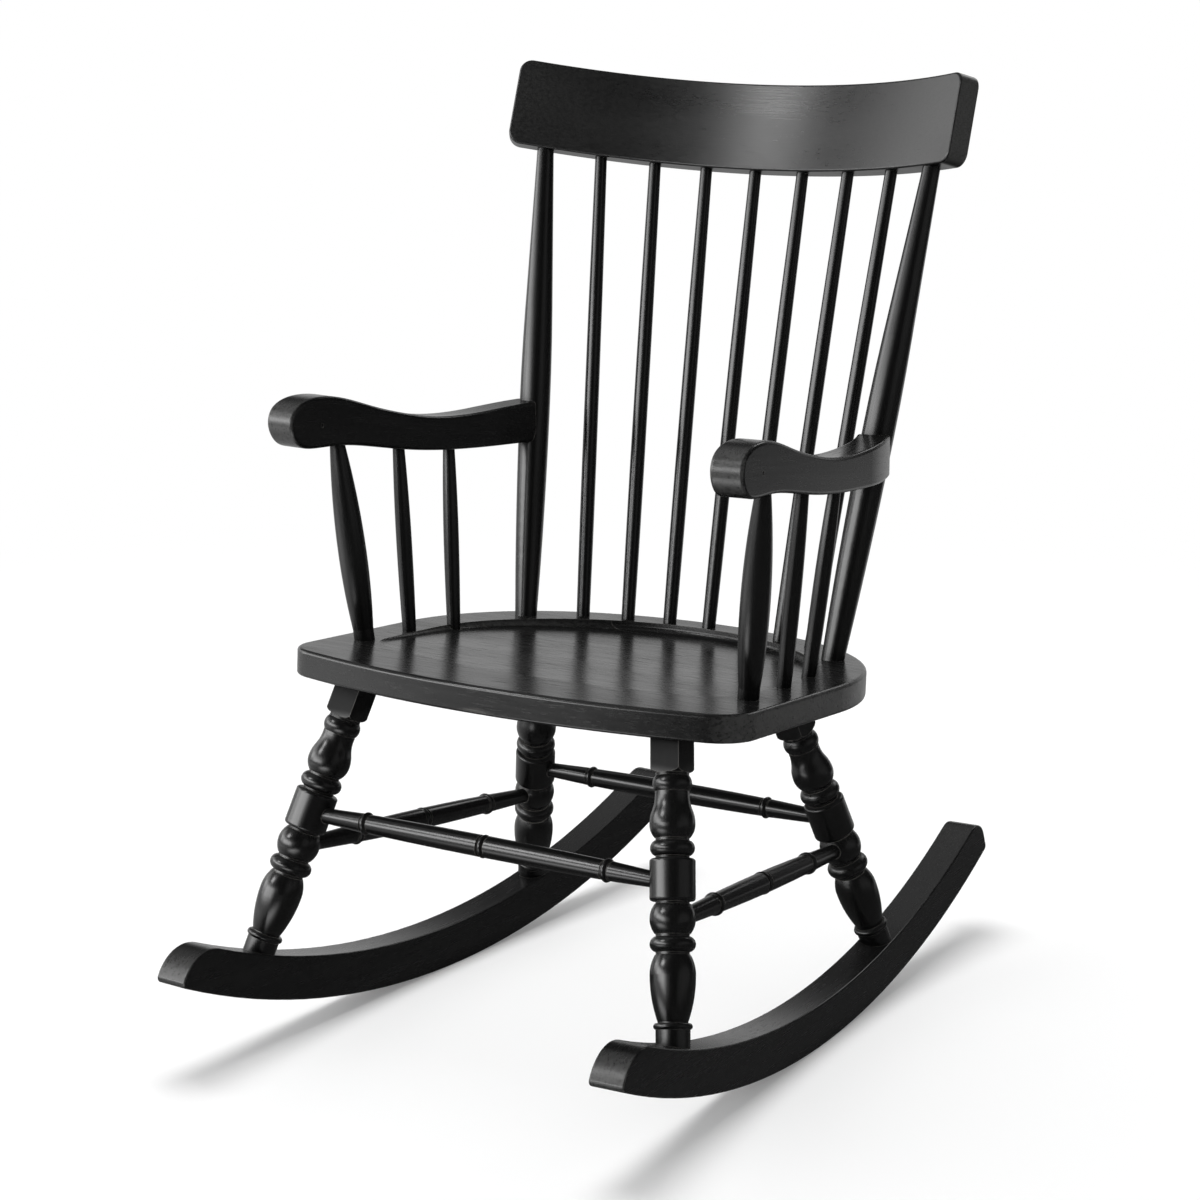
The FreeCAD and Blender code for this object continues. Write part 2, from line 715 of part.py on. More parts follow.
def arm_frame(post):
    """Frame of the right arm: from its nose, y along its straight part, z up."""
    nose = Vector(s.arm_nose_x, -s.arm_nose_y, s.arm_foot_height)
    middle = s.arm_foot_height + s.arm_rise * ARM_TOP_SHARES[0][1] / 2
    meeting = post.low + post.axis * ((middle - post.low.z) / post.axis.z)
    level = Vector(meeting.x - nose.x, meeting.y - nose.y, 0)
    # The bend's middle is at its radius from the post and square to the straight part's end.
    reach = math.hypot(s.arm_bend_radius, s.arm_straight)
    opening = math.acos((s.arm_bend_radius ** 2 + reach ** 2 - level.Length ** 2)
                        / (2 * s.arm_bend_radius * reach))
    turn = opening - math.atan2(s.arm_straight, s.arm_bend_radius)
    end = Vector(s.arm_bend_radius * (math.cos(turn) - 1),
                 s.arm_straight + s.arm_bend_radius * math.sin(turn), 0)
    swing = math.atan2(level.y, level.x) - math.atan2(end.y, end.x)
    place = Placement(nose, Rotation(UP, math.degrees(swing)))
    heading = place.Rotation.multVec(Vector(-math.sin(turn), math.cos(turn), 0))
    radius = post_radius(post, meeting)
    # Length of the sloping post's surface line from its axis, along the arm.
    far = radius / math.sqrt(1 - heading.dot(post.axis) ** 2)
    last_turn = turn - (far - s.arm_bite) / s.arm_bend_radius
    return SimpleNamespace(
        place=place, turn=last_turn, heading=heading, back_of_post=meeting + heading * far,
        length=s.arm_straight + s.arm_bend_radius * math.sin(last_turn))


def post_radius(post, spot):
    """Radius of a back post at a point of its axis: on its swell, its shoulder or its taper."""
    share = (spot - post.low).Length / (post.high - post.low).Length
    lower, shoulder = s.post_swell_share, s.post_shoulder_share
    upper = 1 - lower - shoulder
    whole = s.post_swell_radius - s.post_top_radius
    drop = whole * shoulder / (2 * upper + shoulder)
    if share < lower:
        return s.post_swell_radius - (s.post_swell_radius - s.post_foot_radius) * (1 - share / lower) ** 2
    if share < lower + shoulder:
        return s.post_swell_radius - drop * ((share - lower) / shoulder) ** 2
    return s.post_top_radius + (whole - drop) * (1 - share) / upper


def arm_middle(y):
    """Sideways place of the arm's middle line at that distance from the nose."""
    past = max(y - s.arm_straight, 0)
    return -arc_drop(s.arm_bend_radius, past)


def arm_underside(y, length):
    """Height of the arm's underside at that distance from the nose."""
    share = y / length
    for (before, low), (after, high) in zip(ARM_UNDER_SHARES, ARM_UNDER_SHARES[1:]):
        if before <= share <= after:
            return (low + (high - low) * (share - before) / (after - before)) * s.arm_rise
    return 0.0


def arm_board(frame):
    """Right arm before its joints: a sawn wave with a scrolled nose, bent in at the rear."""
    side = doc.addObject("PartDesign::Body", "arm_side_view")
    sketch = new_sketch(side, "YZ_Plane", "arm_side_outline")
    spots = [Vector(y * frame.length, z * s.arm_rise, 0) for y, z in ARM_TOP_SHARES + ARM_UNDER_SHARES]
    wave = Part.BSplineCurve()
    wave.interpolate(spots)
    past = Vector(s.overrun, 0, 0)
    rear = [spots[-1], spots[-1] + past, spots[0] + past, spots[0]]
    sketch.addGeometry([wave] + [Part.LineSegment(*pair) for pair in zip(rear, rear[1:])])
    sketch.addConstraint(
        [Sketcher.Constraint("Coincident", edge, 2, (edge + 1) % 4, 1) for edge in range(4)])
    pad = side.newObject("PartDesign::Pad", "arm_side_pad")
    pad.Profile = sketch
    pad.setExpression("Length", cell("arm_straight"))
    pad.Midplane = True
    side.Placement = frame.place

    plan = doc.addObject("PartDesign::Body", "arm_plan_view")
    sketch = new_sketch(plan, "XY_Plane", "arm_plan_outline")
    half = "arm_width / 2"
    turn = f"{math.degrees(frame.turn)}"
    inner = f"(arm_bend_radius - {half})"
    outer = f"(arm_bend_radius + {half})"
    middle = ("-arm_bend_radius", "arm_straight")
    draw_outline(sketch, [
        (f"-{half}", "-overrun", None),
        (half, "-overrun", None),
        (half, "arm_straight", arc(*middle, outer)),
        (f"{outer} * cos({turn}) - arm_bend_radius", f"arm_straight + {outer} * sin({turn})", None),
        (f"{inner} * cos({turn}) - arm_bend_radius", f"arm_straight + {inner} * sin({turn})",
         arc(*middle, inner, False)),
        (f"-{half}", "arm_straight", None),
    ])
    pad = plan.newObject("PartDesign::Pad", "arm_plan_pad")
    pad.Profile = sketch
    pad.setExpression("Length", cell("arm_rise * 2"))
    plan.Placement = frame.place * Placement(Vector(0, 0, -s.overrun), Rotation())

    sawn = common("arm_sawn", side, plan)
    doc.recompute()
    rounded = doc.addObject("Part::Fillet", "arm_board")
    rounded.Base = sawn
    unplace = frame.place.inverse()

    def runs_along(edge):
        spots = [unplace.multVec(vertex.Point) for vertex in edge.Vertexes]
        if edge.Length <= s.arm_width * 2 or len(spots) != 2:
            return False
        return abs(spots[0].x - spots[1].x) < s.arm_width
    rounded.Edges = [(i, s.arm_edge_round, s.arm_edge_round)
                     for i, edge in enumerate(sawn.Shape.Edges, start=1) if runs_along(edge)]
    return rounded


def arm_support(name, frame, place, tenon, radii, rows_of):
    """Turned piece from the seat up into the arm's underside."""
    x, reach, along = place
    low = seat_point(x, -reach)
    high = frame.place.multVec(Vector(arm_middle(along), along, arm_underside(along, frame.length)))
    return rod(name, rows_of(f"{low.distanceToPoint(high)}"), low, high, [tenon] * 2, radii)


def arm_post_rows(length):
    """Baluster turning of the front arm post: a short plain foot below the swell."""
    foot = f"({length} * arm_post_foot_share)"
    lower = f"({length} * (arm_post_swell_share - arm_post_foot_share))"
    return [
        ("line", foot, "arm_post_foot_radius", "arm_post_foot_radius"),
        ("rise", lower, "arm_post_foot_radius", "arm_post_swell_radius"),
        ("fall", f"({length} - {foot} - {lower})", "arm_post_swell_radius", "arm_post_top_radius"),
    ]


def arm_spindle_rows(length):
    """Thin arm spindle with a slight swell."""
    return swelled_rows(length, "arm_spindle_swell_share", "arm_spindle_foot_radius",
                        "arm_spindle_swell_radius", "arm_spindle_top_radius")


def arm_supports(frame):
    """The right arm's front post and its two thin spindles."""
    spindle = ("arm_spindle_tenon", ("arm_spindle_foot_radius", "arm_spindle_top_radius"), arm_spindle_rows)
    return [
        arm_support("arm_post_right", frame, (s.arm_post_x, s.arm_post_reach, s.arm_post_set),
                    "arm_post_tenon", ("arm_post_foot_radius", "arm_post_top_radius"), arm_post_rows),
        arm_support("arm_spindle_front_right", frame,
                    (s.arm_spindle_front_x, s.arm_spindle_front_reach, s.arm_spindle_front_set), *spindle),
        arm_support("arm_spindle_rear_right", frame,
                    (s.arm_spindle_rear_x, s.arm_spindle_rear_reach, s.arm_spindle_rear_set), *spindle),
    ]


def arm_pin(frame):
    """Dowel pin through the arm's nose, sunk a little at both ends, and its hole."""
    half = s.arm_width / 2
    pin, hole = [
        [frame.place.multVec(Vector(x, s.arm_pin_set, s.arm_pin_rise)) for x in (-reach, reach)]
        for reach in (half - s.arm_pin_recess, half + s.overrun)]
    return (cylinder("arm_pin_right", "arm_pin_radius", *pin),
            cylinder("arm_pin_hole", "arm_pin_radius + glue_line", *hole))


def crest_board():
    """Crest rail before its sockets: a bent board with rounded corners and soft arrises."""
    body = doc.addObject("PartDesign::Body", "crest_board")
    sketch = new_sketch(body, "XY_Plane", "crest_plan")
    front = "(crest_bend_radius - crest_thickness / 2)"
    back = "(crest_bend_radius + crest_thickness / 2)"
    front_y = f"sqrt({front} ^ 2 - crest_half_front ^ 2)"
    back_x = f"crest_half_front * {back} / {front}"
    back_y = f"{front_y} * {back} / {front} - crest_bend_radius"
    draw_outline(sketch, [
        ("-crest_half_front", f"{front_y} - crest_bend_radius",
         arc("0", "-crest_bend_radius", front, False)),
        ("crest_half_front", f"{front_y} - crest_bend_radius", None),
        (back_x, back_y, arc("0", "-crest_bend_radius", back)),
        (f"-{back_x}", back_y, None),
    ])
    pad = body.newObject("PartDesign::Pad", "crest_pad")
    pad.Profile = sketch
    pad.setExpression("Length", cell("crest_depth"))
    fillet(body, "crest_corner_round",
           lambda edge: spread(edge, "Z") < NEAR and edge.Length < s.crest_thickness * 2, "crest_corners")

    def on_a_face(edge):
        far = [math.hypot(spot.x, spot.y + s.crest_bend_radius)
               for spot in (edge.valueAt(edge.FirstParameter), edge.valueAt(edge.LastParameter))]
        return abs(far[0] - far[1]) < NEAR
    fillet(body, "crest_edge_round", on_a_face, "crest_arris")
    body.Placement = crest_place
    return body


def screw_rows(length):
    """Wood screw from its tip to the rim of its countersunk head."""
    return [
        ("line", "screw_tip_length", "screw_tip_radius", "screw_radius"),
        ("line", f"{length} - screw_tip_length - screw_head_length", "screw_radius", "screw_radius"),
        ("line", "screw_head_length", "screw_radius", "screw_head_radius"),
    ]


def screw_set(name, outside, inward, length, host):
    """Screw under a plug: the screw, the plug trimmed flush with its host, and their holes."""
    head = outside + inward * s.plug_length
    tip = head + inward * number(length)
    over = outside - inward * s.overrun
    plug = common(name + "_plug", cylinder(name + "_plug_bar", "plug_radius", head, over), host)
    pilot = cylinder(name + "_pilot", "screw_radius + glue_line", head, tip + inward * s.socket_end_gap)
    holes = [
        cylinder(name + "_plug_hole", "plug_radius + glue_line", head, over),
        cylinder(name + "_head_hole", "screw_head_radius + glue_line",
                 head, head + inward * s.screw_head_length),
        pilot,
    ]
    return SimpleNamespace(
        screw=turned(name, screw_rows(length), tip, inward * -1), plug=plug, holes=holes, pilot=pilot)


def under_rocker(foot, axis):
    """Where a leg's axis comes out of the rocker's bottom arc."""
    unplace = rocker_place.inverse()
    start = unplace.multVec(foot) - Vector(0, s.rocker_rest_y, s.rocker_radius)
    down = unplace.Rotation.multVec(axis * -1)
    start.x = 0
    level = Vector(0, down.y, down.z)
    along = start.dot(level)
    reach = math.sqrt(along ** 2 + level.dot(level) * (s.rocker_radius ** 2 - start.dot(start))) - along
    return foot - axis * (reach / level.dot(level))


def build_base(pieces, seat_tools):
    """Rockers, legs, stretchers and the screws that hold the rockers on."""
    room = leg_room()
    rocker_blank = rocker_board()
    rocker_tools = []
    screws = []
    legs = {}
    for end, x, reach, foot_y in (("front", s.front_leg_x, s.front_leg_reach, -s.front_foot_reach),
                                  ("back", s.back_leg_x, s.back_leg_reach, s.back_foot_reach)):
        name = f"{end}_leg"
        frame = leg_frame(x, reach, foot_y)
        seat_tools.append(socket(name + "_seat_socket", "leg_tenon_radius", frame.top, frame.axis,
                                 "leg_tenon_length"))
        rocker_tools.append(socket(name + "_rocker_socket", "leg_tenon_radius", frame.foot,
                                   frame.axis * -1, "foot_tenon_length"))
        screw = screw_set(f"{end}_rocker_screw", under_rocker(frame.foot, frame.axis), frame.axis,
                          "rocker_screw_length", rocker_blank)
        rocker_tools.extend(screw.holes)
        screws.append(screw)
        legs[end] = SimpleNamespace(frame=frame, blank=leg_blank(name, frame, room), tools=[screw.pilot])
    pieces["rocker_right"] = cut("rocker_right", rocker_blank, rocker_tools)

    side = stretcher("side_stretcher_right", legs["front"].frame.ball, legs["back"].frame.ball,
                     "side_bead_share")
    pieces["side_stretcher_right"] = side.body
    legs["front"].tools.append(low_socket(side))
    legs["back"].tools.append(high_socket(side))
    for end, leg in legs.items():
        right = leg.frame.barrel
        left = Vector(-right.x, right.y, right.z)
        cross = stretcher(f"{end}_stretcher", left, right, f"{end}_bead_share")
        pieces[f"{end}_stretcher"] = cross.body
        leg.tools.append(high_socket(cross))
        pieces[f"{end}_leg_right"] = cut(f"{end}_leg_right", leg.blank, leg.tools)
    return screws


def build_arm(pieces, seat_tools, crest_tools):
    """Right back post, arm, arm post and arm spindles, with the arm's screw and pin."""
    post = back_post()
    seat_tools.append(low_socket(post))
    crest_tools.append(high_socket(post))
    frame = arm_frame(post)
    screw = screw_set("arm_screw_right", frame.back_of_post, frame.heading * -1,
                      "arm_screw_length", post.body)
    pin, pin_hole = arm_pin(frame)
    arm_tools = [post.body, screw.pilot, pin_hole]
    for support in arm_supports(frame):
        pieces[support.label] = support.body
        seat_tools.append(low_socket(support))
        arm_tools.append(high_socket(support))
    pieces["back_post_right"] = cut("back_post_bored", post.body, screw.holes)
    pieces["arm_right"] = cut("arm_right", arm_board(frame), arm_tools)
    return screw, pin


def both(label, right):
    """Small pieces of both sides as one group."""
    return group(label, right + [mirrored(f"{label}_left_{i}", piece) for i, piece in enumerate(right)])


def build():
    """Builds every piece and returns the finished ones by name."""
    pieces = {}
    seat_tools = []
    crest_tools = []
    rocker_screws = build_base(pieces, seat_tools)
    arm_screw, pin = build_arm(pieces, seat_tools, crest_tools)
    for name, piece in list(pieces.items()):
        if name.endswith("_right"):
            left_name = name.replace("_right", "_left")
            pieces[left_name] = mirrored(left_name, piece)

    seat_right = joined("seat_right_sockets", seat_tools)
    crest_right = joined("crest_right_sockets", crest_tools)
    seat_tools = [seat_right, mirrored("seat_left_sockets", seat_right), seat_dish()]
    crest_tools = [crest_right, mirrored("crest_left_sockets", crest_right)]
    for index in range(1, SPINDLE_COUNT + 1):
        spindle = back_spindle(index)
        pieces[spindle.label] = spindle.body
        seat_tools.append(low_socket(spindle))
        crest_tools.append(high_socket(spindle))
    pieces["seat"] = cut("seat", seat_board(), seat_tools)
    pieces["crest_rail"] = cut("crest_rail", crest_board(), crest_tools)

    pieces["arm_pins"] = both("arm_pins", [pin])
    pieces["arm_screws"] = both("arm_screws", [arm_screw.screw])
    pieces["arm_screw_plugs"] = both("arm_screw_plugs", [arm_screw.plug])
    pieces["rocker_screws"] = both("rocker_screws", [screw.screw for screw in rocker_screws])
    pieces["rocker_screw_plugs"] = both("rocker_screw_plugs", [screw.plug for screw in rocker_screws])
    return pieces


def check(pieces):
    """Stops on any failed object, and on any piece that is empty or not sound."""
    for item in doc.Objects:
        if "Invalid" in item.State or "Error" in item.State:
            raise RuntimeError(f"{item.Label}: {item.State}")
    for name, piece in pieces.items():
        shape = piece.Shape
        if shape.isNull() or not shape.isValid() or not shape.Solids:
            raise RuntimeError(f"{name}: the shape is empty or not valid")


pieces = build()
doc.recompute()
check(pieces)
os.makedirs("parts", exist_ok=True)
for name, piece in pieces.items():
    piece.Label = name
    piece.Shape.exportStep(f"parts/{name}.step")
    print(f"{name}: {len(piece.Shape.Solids)} solid, {piece.Shape.Volume / 1000:.1f} cm3")
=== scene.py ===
"""A black-painted wooden rocking chair with a comb back, dressed and lit in a white studio.

The chair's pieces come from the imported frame, at their real places and sizes. This script gives
each of them its finish, and adds the floor, the lamps, the surroundings and the camera.
"""

import logging
import math
from dataclasses import dataclass, replace
from enum import Enum
from typing import Any, Iterable

import bpy
import bmesh
import numpy as np
from mathutils import Euler, Matrix, Vector

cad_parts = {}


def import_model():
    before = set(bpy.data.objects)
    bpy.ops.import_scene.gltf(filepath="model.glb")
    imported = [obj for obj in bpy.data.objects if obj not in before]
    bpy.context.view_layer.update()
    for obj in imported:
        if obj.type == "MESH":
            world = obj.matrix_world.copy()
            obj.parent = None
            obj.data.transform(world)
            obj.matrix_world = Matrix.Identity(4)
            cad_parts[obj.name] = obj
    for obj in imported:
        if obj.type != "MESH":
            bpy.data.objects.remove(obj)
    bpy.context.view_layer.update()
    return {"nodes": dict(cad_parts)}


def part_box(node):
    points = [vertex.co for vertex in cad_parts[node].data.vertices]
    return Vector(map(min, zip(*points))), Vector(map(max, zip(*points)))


Rgb = tuple[float, float, float]
Triple = tuple[float, float, float]
Span = tuple[float, float]
Socket = bpy.types.NodeSocket

WHITE = (1.0, 1.0, 1.0, 1.0)
LOG = logging.getLogger("rocking_chair")


class Cut(Enum):
    """How a piece was got out of its wood, which decides how its figure shows."""

    BOARD = "board"
    PANEL = "panel"
    TURNED = "turned"
    SAWN = "sawn"


@dataclass(frozen=True)
class GrainLay:
    """Where a piece's grain runs.

    Args:
        along: Direction of the grain, in the chair's frame.
        start: Place of the figure's own origin, in metres.
    """

    along: Triple
    start: Triple

    def turn(self) -> Euler:
        """Turn that takes the X axis to the grain's direction."""
        return Vector((1.0, 0.0, 0.0)).rotation_difference(Vector(self.along)).to_euler()


class NodeBoard:
    """Short ways to add and join a material's shader nodes."""

    def __init__(self, tree: bpy.types.NodeTree) -> None:
        """Starts on an emptied node tree.

        Args:
            tree: The material's or the world's node tree.
        """
        self.tree = tree
        tree.nodes.clear()

    def add(self, kind: str, inputs: dict[Any, Any] | None = None, **settings: Any) -> bpy.types.Node:
        """Adds one node.

        Args:
            kind: Type name of the node.
            inputs: Socket name or index to a value, or to the socket that feeds it.
            settings: Properties of the node itself.

        Returns:
            The new node.
        """
        node = self.tree.nodes.new(kind)
        for name, value in settings.items():
            setattr(node, name, value)
        for name, value in (inputs or {}).items():
            if isinstance(value, Socket):
                self.tree.links.new(value, node.inputs[name])
            else:
                node.inputs[name].default_value = value
        return node

    def math(self, operation: str, first: Any, second: Any = 0.0, clamp: bool = False) -> Socket:
        """One step of arithmetic on two values or sockets.

        Args:
            operation: Name of the operation.
            first: Left value.
            second: Right value.
            clamp: Whether the result is kept between 0 and 1.

        Returns:
            The socket with the result.
        """
        node = self.add("ShaderNodeMath", {0: first, 1: second}, operation=operation, use_clamp=clamp)
        return node.outputs[0]

    def spread(
        self, value: Any, low: float, high: float, to_low: float = 0.0, to_high: float = 1.0
    ) -> Socket:
        """Maps a range of a value smoothly onto another range.

        Args:
            value: The socket to map.
            low: Its value that becomes to_low.
            high: Its value that becomes to_high.
            to_low: First end of the result.
            to_high: Other end of the result.

        Returns:
            The socket with the result.
        """
        node = self.add(
            "ShaderNodeMapRange", {0: value, 1: low, 2: high, 3: to_low, 4: to_high},
            interpolation_type="SMOOTHSTEP",
        )
        return node.outputs[0]

    def mix(self, factor: Any, first: Any, second: Any) -> Socket:
        """Mixes two colours.

        Args:
            factor: 0 for the first colour, 1 for the second.
            first: First colour or its socket.
            second: Second colour or its socket.

        Returns:
            The socket with the mixed colour.
        """
        node = self.add("ShaderNodeMix", data_type="RGBA")
        for name, value in ((0, factor), (6, first), (7, second)):
            if isinstance(value, Socket):
                self.tree.links.new(value, node.inputs[name])
            else:
                node.inputs[name].default_value = value if name == 0 else (*value, 1.0)
        return node.outputs[2]

    def noise(self, place: Socket, per_metre: Triple, detail: float, rough: float) -> Socket:
        """Noise stretched by its own count of waves per metre along each axis.

        Args:
            place: Coordinates, in metres.
            per_metre: Waves per metre along X, Y and Z.
            detail: Octaves.
            rough: Strength of each octave against the one before.

        Returns:
            The socket with the noise, about 0.5 on the whole.
        """
        stretched = self.add("ShaderNodeMapping", {"Vector": place, "Scale": per_metre})
        node = self.add(
            "ShaderNodeTexNoise",
            {"Vector": stretched.outputs[0], "Scale": 1.0, "Detail": detail, "Roughness": rough},
        )
        return node.outputs[0]

    def grain_noise(self, place: Socket, waves: Span, detail: float, rough: float) -> Socket:
        """Noise stretched along the grain.

        Args:
            place: Coordinates along and across the grain, in metres.
            waves: Waves per metre along and across the grain.
            detail: Octaves.
            rough: Strength of each octave against the one before.

        Returns:
            The socket with the noise.
        """
        return self.noise(place, (waves[0], waves[1], waves[1]), detail, rough)

    def mirrored(self, path: bpy.types.Node) -> Socket:
        """Mask of what glossy and clear surfaces see, from a light path node."""
        return self.math("MAXIMUM", path.outputs["Is Glossy Ray"], path.outputs["Is Transmission Ray"])


@dataclass(frozen=True)
class Figure:
    """Size and strength of the wood's figure under the paint. Counts are waves per metre.

    Args:
        fibre: Waves of the fine streaks, along and across the grain.
        pore: Waves of the short open pores, along and across the grain.
        cloud: Waves of the slow change of tone, along and across the grain.
        fibre_depth: Height of the streaks, in metres.
        pore_depth: Depth of the pores, in metres.
        pore_share: Share of the surface, from 0 to 1, that open pores may take.
    """

    fibre: Span
    pore: Span
    cloud: Span
    fibre_depth: float
    pore_depth: float
    pore_share: float


FIGURES: dict[Cut, Figure] = {
    Cut.BOARD: Figure((12.0, 460.0), (30.0, 640.0), (2.2, 17.0), 0.00005, 0.00001, 0.34),
    Cut.PANEL: Figure((7.0, 240.0), (24.0, 480.0), (2.2, 17.0), 0.000005, 0.000010, 0.40),
    Cut.SAWN: Figure((9.0, 260.0), (30.0, 520.0), (3.0, 22.0), 0.000008, 0.000005, 0.37),
    Cut.TURNED: Figure((10.0, 300.0), (40.0, 600.0), (4.0, 30.0), 0.000005, 0.000009, 0.34),
}


@dataclass(frozen=True)
class WoodPattern:
    """The wood's figure, as sockets of one material.

    Args:
        fibre: Noise in fine streaks along the grain.
        cloud: Slow noise.
        pore: Mask of the open pores.
    """

    fibre: Socket
    cloud: Socket
    pore: Socket


@dataclass(frozen=True)
class SatinBlackPaint:
    """Satin black paint over open-grained wood, lighter along the arrises for real wear and a painted
    highlight.

    Args:
        black: Colour of the full coat.
        thin: Colour on the crowns of the streaks, where the coat is thinner.
        pale_wear_and_highlight: Colour of the arrises, for real wear and a painted highlight along them.
        end_grain_and_highlight: Colour where the fibres end in the surface and drink the paint, lighter
            still as a painted highlight on end faces such as the noses.
        gloss_low: Roughness of the smoothest patches.
        gloss_high: Roughness of the dullest patches.
        end_gloss: Roughness that end grain adds.
        pore_gloss: Roughness that open pores add.
        corner: Reach of the shade deep in corners and grooves, in metres.
        corner_sheen: Share of the paint's sheen that is left there.
        under_seat_shade: Heights between which the sheen fades to that share under the seat, as painted
            shade, in metres.
        rubbed_gloss: Roughness of the rubbed arrises.
        arris: Radius within which an edge counts as an arris, in metres.
        glue_line: Half width of the line between two glued boards, in metres.
        peel: Height of the paint's own fine texture, in metres.
        peel_waves: Waves per metre of that texture.
    """

    black: Rgb = (0.0036, 0.0036, 0.0037)
    thin: Rgb = (0.0064, 0.0064, 0.0062)
    pale_wear_and_highlight: Rgb = (0.105, 0.101, 0.094)
    end_grain_and_highlight: Rgb = (0.045, 0.045, 0.044)
    gloss_low: float = 0.21
    gloss_high: float = 0.28
    end_gloss: float = 0.10
    pore_gloss: float = 0.08
    corner: float = 0.035
    corner_sheen: float = 0.12
    under_seat_shade: Span | None = None
    rubbed_gloss: float = 0.24
    arris: float = 0.0024
    glue_line: float = 0.00048
    peel: float = 0.000006
    peel_waves: float = 700.0

    # Octaves of each noise, and the strength of each octave against the one before.
    FIBRE_NOISE = (4.0, 0.62)
    CLOUD_NOISE = (3.0, 0.55)
    PORE_NOISE = (1.5, 0.5)
    PEEL_NOISE = (2.0, 0.5)
    # Softness of a pore's edge, in the noise's own values.
    PORE_EDGE = 0.07
    # Shares of the cloud, the pores and the glue lines in the colour. TONE_SPAN is full to thin coat.
    TONE_CLOUD = 0.6
    TONE_PORE = 0.75
    TONE_SEAM = 0.5
    TONE_SPAN = (0.62, 1.05)
    # Shares of the streaks and the cloud in the gloss. GLOSS_SPAN is smoothest to dullest.
    GLOSS_FIBRE = 0.55
    GLOSS_CLOUD = 0.45
    GLOSS_SPAN = (0.30, 0.70)
    # How squarely a face cuts the grain, from none to full end grain, and how the streaks break it up.
    END_SPAN = (0.25, 0.80)
    END_FIBRE_SPAN = (0.30, 0.65)
    END_LEAST = 0.45
    # How well the rounded and the true face agree, from no wear and painted highlight to full, and how the
    # figure breaks it up.
    ARRIS_SPAN = (0.985, 0.80)
    ARRIS_FIBRE = 0.5
    ARRIS_FIGURE_SPAN = (0.55, 0.95)
    ARRIS_LEAST = 0.25
    # How open a place is, from deep in a corner, where less sheen is painted shade, to the open face, and
    # the open face's sheen.
    OPEN_SPAN = (0.30, 0.92)
    FULL_SHEEN = 0.5
    PAINT_IOR = 1.5
    EDGE_SAMPLES = 6

    def material(self, name: str, cut: Cut, lay: GrainLay, boards: float = 0.0) -> bpy.types.Material:
        """Makes the finish of one piece.

        Args:
            name: Name of the material.
            cut: How the piece was got out of its wood.
            lay: Where its grain runs.
            boards: Width of the boards that the piece is glued up from, in metres, or 0 for one piece.

        Returns:
            The material.
        """
        made = bpy.data.materials.new(name)
        made.use_nodes = True
        board = NodeBoard(made.node_tree)
        place = self._grain_place(board, lay)
        seam: Socket | float = 0.0
        if boards:
            place, seam = self._glued_boards(board, place, boards)
        figure = FIGURES[cut]
        wood = self._wood(board, place, figure)
        # Mask of the arrises, for their real wear and their painted highlight.
        edge_wear_and_highlight = self._wear_and_highlight_mask(board, wood)
        ends = self._end_grain(board, lay, wood)
        shader = board.add("ShaderNodeBsdfPrincipled", {
            "Base Color": self._coat(board, wood, ends, edge_wear_and_highlight, seam),
            "Roughness": self._gloss(board, wood, ends, edge_wear_and_highlight),
            "Normal": self._relief(board, place, wood, seam, figure),
            "IOR": self.PAINT_IOR,
            "Specular IOR Level": self._sheen(board),
        })
        board.add("ShaderNodeOutputMaterial", {"Surface": shader.outputs[0]})
        return made

    def _grain_place(self, board: NodeBoard, lay: GrainLay) -> Socket:
        """Coordinates along and across the piece's grain, in metres."""
        coordinates = board.add("ShaderNodeTexCoord")
        turned = board.add(
            "ShaderNodeMapping",
            {"Vector": coordinates.outputs["Object"], "Location": lay.start, "Rotation": lay.turn()},
            vector_type="TEXTURE",
        )
        return turned.outputs[0]

    def _glued_boards(self, board: NodeBoard, place: Socket, width: float) -> tuple[Socket, Socket]:
        """Shifts the figure from board to board of a glued-up panel.

        Args:
            board: The material's node board.
            place: Coordinates along and across the grain.
            width: Width of each board, in metres.

        Returns:
            The shifted coordinates, and a mask that is 1 on the glue lines.
        """
        axes = board.add("ShaderNodeSeparateXYZ", {0: place})
        counted = board.math("DIVIDE", axes.outputs[1], width)
        number = board.math("FLOOR", counted)
        shift = board.add("ShaderNodeTexWhiteNoise", {"W": number}, noise_dimensions="1D")
        moved = board.add("ShaderNodeVectorMath", {0: place, 1: shift.outputs["Color"]}, operation="ADD")
        from_middle = board.math("ABSOLUTE", board.math("SUBTRACT", board.math("FRACT", counted), 0.5))
        seam = board.spread(from_middle, 0.5 - self.glue_line / width, 0.5)
        return moved.outputs[0], seam

    def _wood(self, board: NodeBoard, place: Socket, figure: Figure) -> WoodPattern:
        """Lays out the wood's figure.

        Args:
            board: The material's node board.
            place: Coordinates along and across the grain.
            figure: Size of the figure.

        Returns:
            The figure's sockets.
        """
        fibre = board.grain_noise(place, figure.fibre, *self.FIBRE_NOISE)
        cloud = board.grain_noise(place, figure.cloud, *self.CLOUD_NOISE)
        pores = board.grain_noise(place, figure.pore, *self.PORE_NOISE)
        pore = board.spread(pores, figure.pore_share - self.PORE_EDGE, figure.pore_share, 1.0, 0.0)
        return WoodPattern(fibre, cloud, pore)

